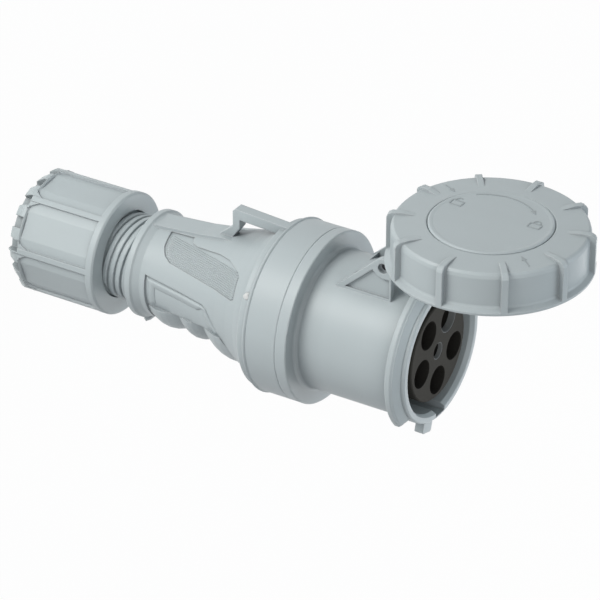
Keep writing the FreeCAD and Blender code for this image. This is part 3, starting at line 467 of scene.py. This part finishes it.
def around_axis(radius: Array, angle: Array, height: Array) -> Array:
    """Places round an axis: x, y = radius times the angle's cosine and sine, z = height.

    Args:
        radius: distances from the axis.
        angle: angles in radians.
        height: heights along the axis; the three arrays broadcast against each other.

    Returns:
        The places, with x, y and z along the last axis.
    """
    x, y = radius * np.cos(angle), radius * np.sin(angle)
    return np.stack(np.broadcast_arrays(x, y, height), -1)


def swept_mesh(name: str, rings: Array, smooth: bool = True,
               loop: bool = False) -> Piece:
    """Makes one object of several closed tubes.

    Args:
        name: the object's name.
        rings: places in millimetres, shaped (tube, along, around, 3); each ring is closed.
        smooth: whether faces shade smoothly.
        loop: whether each tube's last section joins its first.

    Returns:
        The object, with its ends closed and its faces outward.
    """
    tubes, along, around, _ = rings.shape
    index = np.arange(tubes * along * around).reshape(tubes, along, around)
    here, there = (index, np.roll(index, -1, 1)) if loop else (index[:, :-1], index[:, 1:])
    quads = np.stack([here, np.roll(here, -1, 2), np.roll(there, -1, 2), there], -1)
    ends = index[:0, 0] if loop else np.concatenate([index[:, 0, ::-1], index[:, -1]])
    faces = quads.reshape(-1, 4).tolist() + ends.tolist()
    mesh = bpy.data.meshes.new(name)
    mesh.from_pydata((rings.reshape(-1, 3) * MM).tolist(), [], faces)
    work = bmesh.new()
    work.from_mesh(mesh)
    bmesh.ops.recalc_face_normals(work, faces=work.faces)
    work.to_mesh(mesh)
    work.free()
    mesh.polygons.foreach_set("use_smooth", np.full(len(mesh.polygons), smooth))
    piece = bpy.data.objects.new(name, mesh)
    bpy.context.scene.collection.objects.link(piece)
    return piece


class Assembly(ABC):
    """A sub-assembly of new pieces that share a slot and ride on one body."""

    slot: ClassVar[Slot] = Slot.HOUSING
    body: ClassVar[str] = "coupler"

    @abstractmethod
    def build(self) -> Pieces:
        """Makes the pieces."""

    def dress(self, wardrobe: Wardrobe) -> None:
        """Makes the pieces and dresses each with its slot's finish."""
        for piece in self.build():
            wardrobe.dress_piece(piece, self.slot, self.body)


@dataclass
class GlandThread(Assembly):
    """Ridges of the gland's quick thread on the spigot behind the handle, in millimetres.

    Attributes:
        root, crest: radii of the spigot and of the ridges' tops.
        rear, front: heights where the ridges begin and end.
        starts: number of ridges.
        lead: height of one turn; below 0 the helix is left-handed.
        foot_half, crest_half: half of a ridge's width at its foot and at its top.
        shoulder: drop and width of the slope beside the top.
        sunk: depth of the section's base below the spigot.
        seam: depth of the ridge's foot below the spigot.
        run_out: length over which a ridge rises at either end.
        least: share of the rise that is left at the very ends.
        past: how far the section may reach past the rear and the front.
        steps: places along a ridge.
    """

    root: float = 23.6
    crest: float = 24.95
    rear: float = 58.0
    front: float = 76.9
    starts: int = 5
    lead: float = -22.0
    foot_half: float = 1.8
    crest_half: float = 1.15
    shoulder: Pair = (0.16, 0.2)
    sunk: float = 0.5
    seam: float = 0.05
    run_out: float = 1.2
    least: float = 0.05
    past: Pair = (0.4, 0.2)
    steps: int = 90

    def section(self) -> Tuple[Array, Array]:
        """Radius and place along the axis of the trapezoid's corners; its halves mirror."""
        drop, width = self.shoulder
        level = np.array([self.root - self.sunk, self.root - self.seam, self.crest - drop,
                          self.crest])
        half = np.array([self.foot_half, self.foot_half, self.crest_half + width, self.crest_half])
        return np.concatenate([level, level[::-1]]), np.concatenate([-half, half[::-1]])

    def build(self) -> Pieces:
        """Carries the trapezoid along helices: turns = (height - rear) / lead + the start's share.

        Returns:
            The ridges as one object; both ends of a ridge sink into the spigot.
        """
        height = np.linspace(self.rear, self.front, self.steps)
        share = np.arange(self.starts)[:, None] / self.starts
        angle = FULL_TURN * ((height - self.rear) / self.lead + share)
        to_end = np.minimum(height - self.rear, self.front - height)
        ease = np.clip(to_end / self.run_out, 0.0, 1.0)[:, None]
        level, aside = self.section()
        radius = level[0] + (level - level[0]) * (self.least + (1.0 - self.least) * ease)
        stand = np.clip(height[:, None] + aside, self.rear - self.past[0],
                        self.front + self.past[1])
        rings = around_axis(radius, angle[..., None], stand)
        return [swept_mesh("gland_thread", rings, smooth=False)]


class Hand(Enum):
    """Side of the handle, as the sign of X."""

    NEAR = -1.0
    FAR = 1.0


@dataclass(frozen=True)
class Handle:
    """Turned surface of the handle, in millimetres.

    Attributes:
        rear: height of its rear end.
        length: its length.
        profile: shares of the length and the radius at each.
    """

    rear: float = 82.1
    length: float = 80.0
    profile: Table = ((0.049, 28.8), (0.1, 29.1), (0.394, 31.5), (0.581, 33.7), (0.725, 36.0),
                      (0.831, 38.6), (0.919, 41.6), (1.0, 45.4))

    def radius(self, share: Array) -> Array:
        """Radius at shares of the length, straight between the profile's corners."""
        return np.interp(share, *np.array(self.profile).T)


@dataclass
class GripRibs(Assembly):
    """Fine ribs in a grip panel of the handle, in millimetres.

    Attributes:
        hand: the panel's side.
        handle: the surface that the panel is sunk into.
        depth: depth of the panel.
        pitch: distance between ribs.
        rib_half, rise: half of a rib's width, and its height.
        buried: scale of the part of the section below the panel.
        margin: share of the length left free inside the outline.
        shortest: least share of the length that a rib covers.
        ramp: how steeply a rib rises at its ends, per share of its own length.
        turn: angle of the panel's middle from the top, in degrees.
        steps: places along a rib.
        offsets: distance of the first rib above the lower edge, and a limit for the last.
        scan: first and last share of the length, and the count, at which the outline is tried.
        lower: places across of the lower edge, and the share of the length at each.
        front_slope: slope of the lower edge past its last place.
        rear_edge, front_edge: places across of the end edges, and the share of the length at each.
        upper: place across of the upper edge.
        arch: corners of a rib's section, as shares of its half width and its rise.
    """

    hand: Hand
    handle: Handle = Handle()
    depth: float = 0.8
    pitch: float = 1.2
    rib_half: float = 0.38
    rise: float = 0.62
    buried: float = 1.2
    margin: float = 0.012
    shortest: float = 0.05
    ramp: float = 18.0
    turn: float = 45.0
    steps: int = 44
    offsets: Pair = (0.9, 16.5)
    scan: Tuple[float, float, int] = (0.12, 0.92, 1601)
    lower: Table = ((3.4, 0.269), (10.6, 0.694))
    front_slope: float = 23.4
    rear_edge: Table = ((-15.0, 0.156), (-4.9, 0.174), (0.2, 0.211), (3.4, 0.269), (10.6, 0.69))
    front_edge: Table = ((-15.1, 0.356), (-11.6, 0.374), (-10.0, 0.425), (-9.2, 0.631),
                         (-7.0, 0.738), (-1.4, 0.856), (1.5, 0.886), (14.0, 0.894), (14.7, 0.869))
    upper: float = -14.2
    arch: Table = ((-1.0, -0.25), (-1.0, 0.0), (-0.55, 0.72), (0.0, 1.0), (0.55, 0.72),
                   (1.0, 0.0), (1.0, -0.25))

    def lower_edge(self, along: Array) -> Array:
        """Place across of the lower edge, straight from the rear and bent once near the front."""
        (across, share), (far_across, far_share) = self.lower
        slope = (far_across - across) / (far_share - share)
        bend = np.clip(along - far_share, 0.0, None) * (self.front_slope - slope)
        return across + (along - share) * slope + bend

    def spans(self, offsets: Array) -> Tuple[Array, Array]:
        """First and last share of the length at which each rib lies inside the panel's outline.

        Args:
            offsets: distance of each rib above the lower edge.

        Returns:
            The two shares for each rib.
        """
        along = np.linspace(*self.scan)
        across = self.lower_edge(along) - offsets[:, None]
        rear = np.interp(across, *np.array(self.rear_edge).T) + self.margin
        front = np.interp(across, *np.array(self.front_edge).T) - self.margin
        inside = (along > rear) & (along < front) & (across > self.upper)
        first = along[np.argmax(inside, 1)]
        last = along[along.size - 1 - np.argmax(inside[:, ::-1], 1)]
        return first, last

    def build(self) -> Pieces:
        """Carries a low arch along curves that follow the lower edge, on the sunk panel.

        Returns:
            The ribs of the panel as one object.
        """
        offsets = np.arange(*self.offsets, self.pitch)
        first, last = self.spans(offsets)
        use = last - first > self.shortest
        offsets, first, last = (values[use][:, None] for values in (offsets, first, last))
        share = np.linspace(0.0, 1.0, self.steps)
        along = first + (last - first) * share
        across = (self.lower_edge(along) - offsets)[..., None]
        ease = np.clip(np.minimum(share, 1.0 - share) * self.ramp, 0.0, 1.0)[:, None]
        aside, arch = np.array(self.arch).T
        level = np.where(arch > 0.0, arch * self.rise * ease, arch * self.buried)
        outer = self.handle.radius(along)[..., None]
        radius = outer - self.depth + level
        lean = self.hand.value * (np.arcsin(across / outer) + math.radians(self.turn))
        lean = lean + aside * self.rib_half / radius
        height = (self.handle.rear + self.handle.length * along)[..., None]
        rings = around_axis(radius, lean, height)[..., [1, 0, 2]]
        return [swept_mesh("grip_ribs_" + self.hand.name.lower(), rings)]


@dataclass
class FingerFrame(Assembly):
    """Rolled frame inside a finger recess of the handle, in millimetres.

    Attributes:
        hand: the recess's side.
        handle: the surface that the recess is sunk into.
        depth: depth of the recess.
        steps, window: places along the frame, and how many the running mean takes in.
        ends: length over which the frame rises at either end.
        outline: corners (y, z) of the recess.
        section: corners of the frame, as distances in from the outline and up from the floor.
        groove: distances along the outline, and the frame's extra distance in from it at each.
    """

    hand: Hand
    handle: Handle = Handle()
    depth: float = 1.3
    steps: int = 163
    window: int = 7
    ends: float = 2.5
    outline: Table = ((-9.4, 89.62), (9.2, 89.62), (5.47, 131.1), (3.74, 134.3), (-4.32, 139.7),
                      (-9.8, 143.6))
    section: Table = ((1.0, -0.4), (1.0, 0.0), (1.5, 0.5), (2.0, 0.95), (2.35, 1.1), (2.8, 1.05),
                      (5.4, 0.3), (5.6, 0.1), (5.6, -0.4))
    groove: Table = ((0.0, 1.2), (15.0, 1.2), (22.0, 0.0), (62.0, 0.0), (70.0, 0.4))

    def mean(self, values: Array) -> Array:
        """Running mean along the first axis, with the end values carried on past the ends."""
        half = self.window // 2
        padded = np.pad(values, [(half, half)] + [(0, 0)] * (values.ndim - 1), mode="edge")
        return np.lib.stride_tricks.sliding_window_view(padded, self.window, axis=0).mean(-1)

    def path(self) -> Tuple[Array, Array]:
        """Walks the recess's outline in even steps and rounds its corners by a running mean.

        Returns:
            The places (y, z), shaped (steps, 2), and the distance walked to each.
        """
        points = np.array(self.outline)
        reach = np.concatenate([[0.0], np.cumsum(np.hypot(*np.diff(points, axis=0).T))])
        walked = np.linspace(0.0, reach[-1], self.steps)
        line = np.stack([np.interp(walked, reach, values) for values in points.T], 1)
        return self.mean(line), walked

    def build(self) -> Pieces:
        """Carries the section along the outline, on the recess's floor.

        A distance d in from the outline becomes d / (1 + bend * d), so that the frame never folds.

        Returns:
            The frame as one object.
        """
        line, walked = self.path()
        rise, run = np.gradient(line, axis=0).T
        length = np.hypot(rise, run)
        bend = np.clip(-np.gradient(np.unwrap(np.arctan2(rise, run))) / length, 0.0, None)
        inward, level = np.array(self.section).T
        inset = inward + np.interp(walked, *np.array(self.groove).T)[:, None]
        inset = inset / (1.0 + self.mean(bend)[:, None] * inset)
        ease = np.clip(np.minimum(walked, walked[-1] - walked) / self.ends, 0.0, 1.0)[:, None]
        level = np.where(level > 0.0, level * ease, level)
        height = line[:, :1] - inset * (run / length)[:, None]
        along = line[:, 1:] + inset * (rise / length)[:, None]
        outer = self.handle.radius((along - self.handle.rear) / self.handle.length)
        rings = around_axis(outer - self.depth + level, np.arcsin(height / outer), along)
        rings = rings[None] * (self.hand.value, 1.0, 1.0)
        return [swept_mesh("finger_frame_" + self.hand.name.lower(), rings)]


@dataclass
class CollarBead(Assembly):
    """Rolled bead on the step behind the collar: its section's radii and heights in millimetres."""

    steps: int = 240
    section: Table = ((47.9, 166.0), (48.7, 166.4), (49.7, 167.0), (50.3, 167.5), (50.5, 167.9),
                      (50.35, 168.3), (49.5, 169.2), (48.7, 169.0), (47.9, 168.0))

    def build(self) -> Pieces:
        """Turns the section once about the part's axis."""
        radius, height = np.array(self.section).T
        rings = around_axis(radius, full_turn(self.steps), height)
        return [swept_mesh("collar_bead", rings, loop=True)]


@dataclass
class MouthSlope(Assembly):
    """Sloping face between the mouth's flange and its lip, in millimetres.

    Attributes:
        mouth: height of the mouth's edge.
        lip, flange: radii of the lip and of the flange.
        flange_back: distance of the flange's face behind the mouth's edge.
        slope_back: distance of the slope's top behind it.
        flange_edge: drop in radius and rise in height of the slope's lower rounding.
        lip_edge: distance from the lip and drop in height of its upper rounding.
        lip_gap: distance from the lip where the slope's top begins.
        sunk: depth of the section's base in the flange and the lip.
        steps: places along an arc.
        arcs: first and last angle of each arc of the flange, in degrees.
    """

    mouth: float = 263.6
    lip: float = 41.0
    flange: float = 45.9
    flange_back: float = 5.2
    slope_back: float = 2.2
    flange_edge: Pair = (0.15, 0.3)
    lip_edge: Pair = (0.7, 0.1)
    lip_gap: float = 0.2
    sunk: float = 0.4
    steps: int = 97
    arcs: Table = ((-61.7, -6.3), (70.3, 221.7))

    def section(self) -> Array:
        """Corners (radius, height) of the slope, which falls from the lip to the flange's edge."""
        foot, top = self.mouth - self.flange_back, self.mouth - self.slope_back
        return np.array([
            (self.lip - self.sunk, foot - self.sunk),
            (self.flange - self.sunk, foot - self.sunk),
            (self.flange, foot),
            (self.flange - self.flange_edge[0], foot + self.flange_edge[1]),
            (self.lip + self.lip_edge[0], top - self.lip_edge[1]),
            (self.lip + self.lip_gap, top),
            (self.lip - self.sunk, top),
        ])

    def build(self) -> Pieces:
        """Turns the section about the part's axis along each arc.

        Returns:
            The slopes as one object, open where the flange is.
        """
        radius, height = self.section().T
        first, last = np.array(self.arcs).T
        angle = np.radians(np.linspace(first, last, self.steps, axis=1))
        rings = around_axis(radius, angle[..., None], height)
        return [swept_mesh("mouth_slope", rings, smooth=False)]


@dataclass(frozen=True)
class EntryHole:
    """An entry hole of the carrier that has a liner, in millimetres.

    Attributes:
        name: end of the liner's name.
        x, y: the hole's middle.
        radius: the hole's radius.
        depth: how deep the liner goes.
    """

    name: str
    x: float
    y: float
    radius: float
    depth: float


@dataclass
class EntryLiners(Assembly):
    """Pale liners just inside two of the carrier's entry holes, in millimetres.

    Attributes:
        face: height of the carrier's face.
        set_back: distance of a liner's edge behind the face.
        chamfer: slope of both edges.
        wall, sunk: thickness of a liner, and depth of its outside in the carrier.
        steps: places round a liner.
        holes: the holes that have liners.
    """

    slot: ClassVar[Slot] = Slot.INNER_PLASTIC

    face: float = 261.3
    set_back: float = 0.1
    chamfer: float = 0.12
    wall: float = 0.35
    sunk: float = 0.05
    steps: int = 72
    holes: Tuple[EntryHole, ...] = (EntryHole("pilot", 0.0, 0.0, 5.0, 2.7),
                                    EntryHole("upper", 10.874, 14.967, 8.2, 4.2))

    def liner(self, hole: EntryHole) -> Piece:
        """Turns a thin four-cornered section about a hole's axis."""
        outer, inner = hole.radius + self.sunk, hole.radius - self.wall
        radius = np.array([outer, inner, inner, outer])
        down = np.array([self.set_back, self.set_back + self.chamfer, hole.depth,
                         hole.depth + self.chamfer])
        rings = around_axis(radius, full_turn(self.steps), self.face - down)
        return swept_mesh("entry_liner_" + hole.name, rings + (hole.x, hole.y, 0.0),
                          smooth=False, loop=True)

    def build(self) -> Pieces:
        """One liner for each hole."""
        return [self.liner(hole) for hole in self.holes]


@dataclass(frozen=True)
class Lid:
    """Outside of the open lid, in millimetres; its axis lies along Y.

    Attributes:
        axis_height: height of the lid's axis.
        cover_top: place along Y of the cover.
        ring_top: place along Y of the ring at its edge.
        ring_edge: radius of the ring's edge.
        ring_slope: how much the ring rises for each millimetre inwards.
    """

    axis_height: float = 291.1
    cover_top: float = 88.9
    ring_top: float = 87.4
    ring_edge: float = 51.4
    ring_slope: float = 0.053


@dataclass
class CoverRim(Assembly):
    """Rolled edge of the lid's cover, in millimetres: steep outside and gentle inside.

    Attributes:
        lid: the surface that the rim lies on.
        steps: places round the rim.
        section: radius of its corners, and their height above the cover.
    """

    body: ClassVar[str] = "lid"

    lid: Lid = Lid()
    steps: int = 144
    section: Table = ((29.0, -0.3), (30.4, -0.06), (31.2, 0.06), (31.8, 0.15), (32.3, 0.2),
                      (32.7, 0.17), (33.0, 0.06), (33.25, -0.15), (33.45, -0.5), (33.45, -0.9))

    def build(self) -> Pieces:
        """Turns the section, a low wave, once about the lid's axis."""
        radius, level = np.array(self.section).T
        rings = around_axis(radius, full_turn(self.steps), level + self.lid.cover_top)
        rings = rings[..., [0, 2, 1]] + (0.0, 0.0, self.lid.axis_height)
        return [swept_mesh("cover_rim", rings, loop=True)]


@dataclass
class Signs(Assembly):
    """Raised signs on the lid, drawn with a flat bar, in millimetres from the lid's axis.

    Attributes:
        lid: the surface that the signs lie on.
        rise: height of the signs.
        sunk: depth of their base.
        stroke: width of an arrow's bar.
    """

    lid: Lid = Lid()
    rise: float = 0.28
    sunk: float = 0.4
    stroke: float = 0.75

    def ribbon(self, name: str, path: Array, widths: Union[float, Array],
               top: Union[float, Array], loop: bool = False) -> Piece:
        """Carries a flat bar along a path on the lid.

        Args:
            name: the object's name.
            path: places (x, z) from the lid's axis, shaped (along, 2).
            widths: width of the bar, for all places or for each.
            top: place along Y of the lid's surface, for all places or for each.
            loop: whether the path's end joins its start.

        Returns:
            The sign as one object.
        """
        ahead = np.roll(path, -1, 0) - np.roll(path, 1, 0) if loop else np.gradient(path, axis=0)
        ahead = ahead / np.linalg.norm(ahead, axis=1, keepdims=True)
        half = np.broadcast_to(widths, path.shape[:1])[:, None] / 2.0
        left = np.stack([-ahead[:, 1], ahead[:, 0]], 1) * half
        sides = np.stack([path + left, path - left, path - left, path + left], 1)
        levels = np.array([-self.sunk, -self.sunk, self.rise, self.rise])
        levels = np.broadcast_to(top, path.shape[:1])[:, None] + levels
        rings = np.stack([sides[..., 0], levels, sides[..., 1] + self.lid.axis_height], -1)[None]
        return swept_mesh(name, rings, smooth=False, loop=loop)

    def dress(self, wardrobe: Wardrobe) -> None:
        """Makes the signs and dresses each with the finish for signs, which is painted darker as
        shade.
        """
        for piece in self.build():
            wardrobe.dress_sign(piece, self.body)


@dataclass
class CoverSigns(Signs):
    """A turning arrow and two padlocks on the lid's cover.

    Attributes:
        arrow_bar: share of the arrow where its bar ends, and the bar's number of places.
        arrow_head: shares of the arrow in its head, and the width at each.
        arrow_turn: first angle and sweep, in degrees.
        arrow_radius: first radius, and how far it winds in.
        lock_stroke: width of a padlock's bar.
        lock_half: half sizes of its frame.
        lock_square: power that squares the frame; 1 gives an ellipse.
        lock_steps: places round the frame.
        bow_foot: distance of the bow's feet from the frame's middle.
        bow_half: height and half width of the bow.
        bow_steps: places along the bow.
        locks: name, middle and gap of each padlock.
    """

    body: ClassVar[str] = "lid"

    arrow_bar: Tuple[float, int] = (0.899, 46)
    arrow_head: Table = ((0.9, 2.8), (0.95, 1.5), (1.0, 0.08))
    arrow_turn: Pair = (-44.0, 85.0)
    arrow_radius: Pair = (30.2, 5.6)
    lock_stroke: float = 0.7
    lock_half: Pair = (2.3, 3.4)
    lock_square: float = 0.14
    lock_steps: int = 40
    bow_foot: float = 2.5
    bow_half: Pair = (2.9, 2.0)
    bow_steps: int = 21
    locks: Tuple[Tuple[str, Pair, float], ...] = (("shut", (7.4, 21.6), 0.0),
                                                  ("open", (8.2, -25.4), 0.35))

    def arrow(self) -> Piece:
        """An arc about the lid's axis whose angle and radius are straight in one share."""
        end, count = self.arrow_bar
        head_share, head_width = np.array(self.arrow_head).T
        share = np.concatenate([np.linspace(0.0, end, count), head_share])
        widths = np.concatenate([np.full(count, self.stroke), head_width])
        angle = np.radians(self.arrow_turn[0] + self.arrow_turn[1] * share)
        radius = self.arrow_radius[0] - self.arrow_radius[1] * share
        path = np.stack([np.cos(angle), np.sin(angle)], 1) * radius[:, None]
        return self.ribbon("cover_arrow", path, widths, self.lid.cover_top)

    def padlock(self, name: str, middle: Pair,
                gap: float) -> Pieces:
        """A rounded frame with a bow on its far side, whose first part a gap leaves off.

        Args:
            name: end of the objects' names.
            middle: place of the frame's middle.
            gap: share of the bow that is left off.

        Returns:
            The frame and the bow.
        """
        turn = full_turn(self.lock_steps).ravel()
        circle = np.stack([np.cos(turn), np.sin(turn)], 1)
        frame_path = np.sign(circle) * np.abs(circle) ** self.lock_square * self.lock_half + middle
        bend = math.pi * np.linspace(gap, 1.0, self.bow_steps)
        height, half = self.bow_half
        bow = np.stack([self.bow_foot + height * np.sin(bend), half * np.cos(bend)], 1) + middle
        top = self.lid.cover_top
        return [self.ribbon("cover_lock_" + name, frame_path, self.lock_stroke, top, loop=True),
                self.ribbon("cover_bow_" + name, bow, self.lock_stroke, top)]

    def build(self) -> Pieces:
        """The arrow and the padlocks."""
        return [self.arrow()] + [piece for lock in self.locks for piece in self.padlock(*lock)]


@dataclass
class RingPointers(Signs):
    """Two arrows on the lid's ring that point inwards.

    Attributes:
        bar: radii along a pointer's bar.
        head: radii in its head, and the width at each.
        turns: end of each pointer's name, and its angle in degrees.
    """

    body: ClassVar[str] = "lock_ring"

    bar: Tuple[float, ...] = (48.0, 46.0, 44.0, 42.01)
    head: Table = ((42.0, 3.0), (40.0, 1.5), (38.0, 0.08))
    turns: Tuple[Tuple[str, float], ...] = (("rear", -59.3), ("front", 127.5))

    def pointer(self, name: str, turn: float) -> Piece:
        """A spoke at an angle in degrees that runs from the rim inwards and ends in a head."""
        head_radius, head_width = np.array(self.head).T
        radius = np.concatenate([self.bar, head_radius])
        widths = np.concatenate([np.full(len(self.bar), self.stroke), head_width])
        way = np.array([math.cos(math.radians(turn)), math.sin(math.radians(turn))])
        top = self.lid.ring_top + self.lid.ring_slope * (self.lid.ring_edge - radius)
        return self.ribbon("ring_pointer_" + name, radius[:, None] * way, widths, top)

    def build(self) -> Pieces:
        """One pointer for each angle."""
        return [self.pointer(name, turn) for name, turn in self.turns]


@dataclass(frozen=True)
class Lamp:
    """A square soft lamp that faces the part, in metres and watts.

    Attributes:
        towards: direction from the part's middle to the lamp.
        distance: how far away it hangs.
        size: side of its square.
    """

    name: str
    towards: Triple
    distance: float
    size: float
    power: float
    colour: Triple = WHITE

    def hang(self, middle: Triple) -> None:
        """Hangs the lamp in its direction from the part's middle."""
        data = bpy.data.lights.new(self.name, "AREA")
        data.shape = "SQUARE"
        data.size = self.size
        data.energy = self.power
        data.color = self.colour
        lamp = bpy.data.objects.new(self.name, data)
        way = Vector(self.towards).normalized()
        lamp.location = Vector(middle) + way * self.distance
        lamp.rotation_euler = way.to_track_quat("Z", "Y").to_euler()
        bpy.context.scene.collection.objects.link(lamp)


@dataclass
class Studio:
    """Camera, lamps, backdrop and floor around the part, in metres.

    Attributes:
        lens, sensor: the camera's focal length and sensor width in millimetres.
        clip_end: how far the camera sees.
        right, up, back: the picture's axes before the roll.
        roll: turn of the camera about its sight line, in degrees.
        aim: place that the camera is set out from.
        reach, slide, lift: the camera's way from there, backwards, across and up.
        middle: the part's middle, which the lamps face.
        lamps: a key over the near shoulder, a fill before, a cool light on the axis, a fill behind.
        ambient, ambient_colour: strength and colour of the backdrop's light.
        floor_half, floor_lines: half of the floor's side, and its number of grid lines.
        paper: colour of the floor.
        glow: share of white that the eye sees on the floor.
    """

    lens: float = 210.0
    sensor: float = 36.0
    clip_end: float = 30.0
    right: Triple = (0.5180, 0.0, 0.8554)
    up: Triple = (0.4341, 0.8616, -0.2629)
    back: Triple = (-0.7370, 0.5075, 0.4463)
    roll: float = 0.2
    aim: Triple = (0.0, 0.0, 0.2636)
    reach: float = 1.8947
    slide: float = -0.07676
    lift: float = 0.02815
    middle: Triple = (0.0, 0.03, 0.17)
    lamps: Tuple[Lamp, ...] = (
        Lamp("key", (-0.58, 0.70, -0.42), 1.5, 0.8, 14.8, (1.0, 1.0, 0.98)),
        Lamp("fill", (-0.7, 0.15, 0.75), 1.6, 1.0, 5.8),
        Lamp("end_light", (0.35, 0.05, 0.93), 1.6, 0.9, 7.4, (0.84, 0.93, 1.0)),
        Lamp("far_fill", (0.75, -0.6, 0.2), 1.7, 1.0, 5.0))
    ambient: float = 0.2
    ambient_colour: Triple = (0.9, 0.94, 1.0)
    floor_half: float = 4.0
    floor_lines: int = 5
    paper: Triple = (0.92, 0.92, 0.92)
    glow: float = 0.97

    def camera(self) -> None:
        """Looks along the photograph's sight line, with the part's axis across the picture."""
        right, up, back = (Vector(v).normalized() for v in (self.right, self.up, self.back))
        spin = math.radians(self.roll)
        across = right * math.cos(spin) + up * math.sin(spin)
        above = up * math.cos(spin) - right * math.sin(spin)
        eye = Vector(self.aim) + back * self.reach + across * self.slide + above * self.lift
        data = bpy.data.cameras.new("camera")
        data.lens = self.lens
        data.sensor_width = self.sensor
        data.clip_end = self.clip_end
        camera = bpy.data.objects.new("camera", data)
        turn = Matrix((across, above, back)).transposed().to_4x4()
        camera.matrix_world = Matrix.Translation(eye) @ turn
        bpy.context.scene.collection.objects.link(camera)
        bpy.context.scene.camera = camera

    def backdrop(self) -> None:
        """A world that is white to the eye and a soft cool fill for light."""
        world = bpy.data.worlds.new("studio")
        world.use_nodes = True
        graph = Graph(world.node_tree)
        fill = graph.node("ShaderNodeBackground", {},
                          {"Color": rgba(self.ambient_colour), "Strength": self.ambient})
        white = graph.node("ShaderNodeBackground", {}, {"Color": rgba(WHITE), "Strength": 1.0})
        both = graph.node("ShaderNodeMixShader", {}, {0: graph.seen(), 1: fill, 2: white})
        graph.output("ShaderNodeOutputWorld", both)
        bpy.context.scene.world = world

    def floor_paper(self) -> Material:
        """Pale paper that is nearly white to the eye and keeps a faint shadow."""
        s = Shader("floor_paper")
        paper = s.node("ShaderNodeBsdfDiffuse", {}, {"Color": rgba(self.paper)})
        glow = s.node("ShaderNodeEmission", {}, {"Color": rgba(WHITE), "Strength": 1.0})
        return s.show(s.node("ShaderNodeMixShader", {},
                             {0: s.seen() * self.glow, 1: paper, 2: glow}))

    def floor(self) -> None:
        """A flat square grid at height 0: x and y in even steps."""
        line = np.linspace(-self.floor_half, self.floor_half, self.floor_lines)
        x, y = np.meshgrid(line, line, indexing="xy")
        points = np.stack([x, y, np.zeros_like(x)], -1).reshape(-1, 3)
        index = np.arange(x.size).reshape(x.shape)
        quads = np.stack([index[:-1, :-1], index[:-1, 1:], index[1:, 1:], index[1:, :-1]], -1)
        mesh = bpy.data.meshes.new("studio_floor")
        mesh.from_pydata(points.tolist(), [], quads.reshape(-1, 4).tolist())
        floor = bpy.data.objects.new("studio_floor", mesh)
        bpy.context.scene.collection.objects.link(floor)
        mesh.materials.append(self.floor_paper())
        floor.visible_shadow = False

    def build(self) -> None:
        """Sets up the whole studio with the standard view."""
        bpy.context.scene.view_settings.view_transform = "Standard"
        self.camera()
        for lamp in self.lamps:
            lamp.hang(self.middle)
        self.backdrop()
        self.floor()


ASSEMBLIES: Tuple[Assembly, ...] = (
    GlandThread(), GripRibs(Hand.NEAR), FingerFrame(Hand.NEAR), GripRibs(Hand.FAR),
    FingerFrame(Hand.FAR), CollarBead(), MouthSlope(), EntryLiners(), CoverRim(), CoverSigns(),
    RingPointers())


def main() -> None:
    """Dresses the CAD nodes, adds the new pieces and sets up the studio."""
    logging.basicConfig(level=logging.INFO, format="%(name)s: %(message)s")
    wardrobe = Wardrobe(FINISHES)
    for row in frame["record"]["subparts"]:
        wardrobe.dress_node(frame["nodes"][row["node"]], Slot(row["material_slot"]))
    LOG.info("dressed %d nodes", len(frame["nodes"]))
    for assembly in ASSEMBLIES:
        assembly.dress(wardrobe)
    Studio().build()


if __name__ == "__main__":
    main()
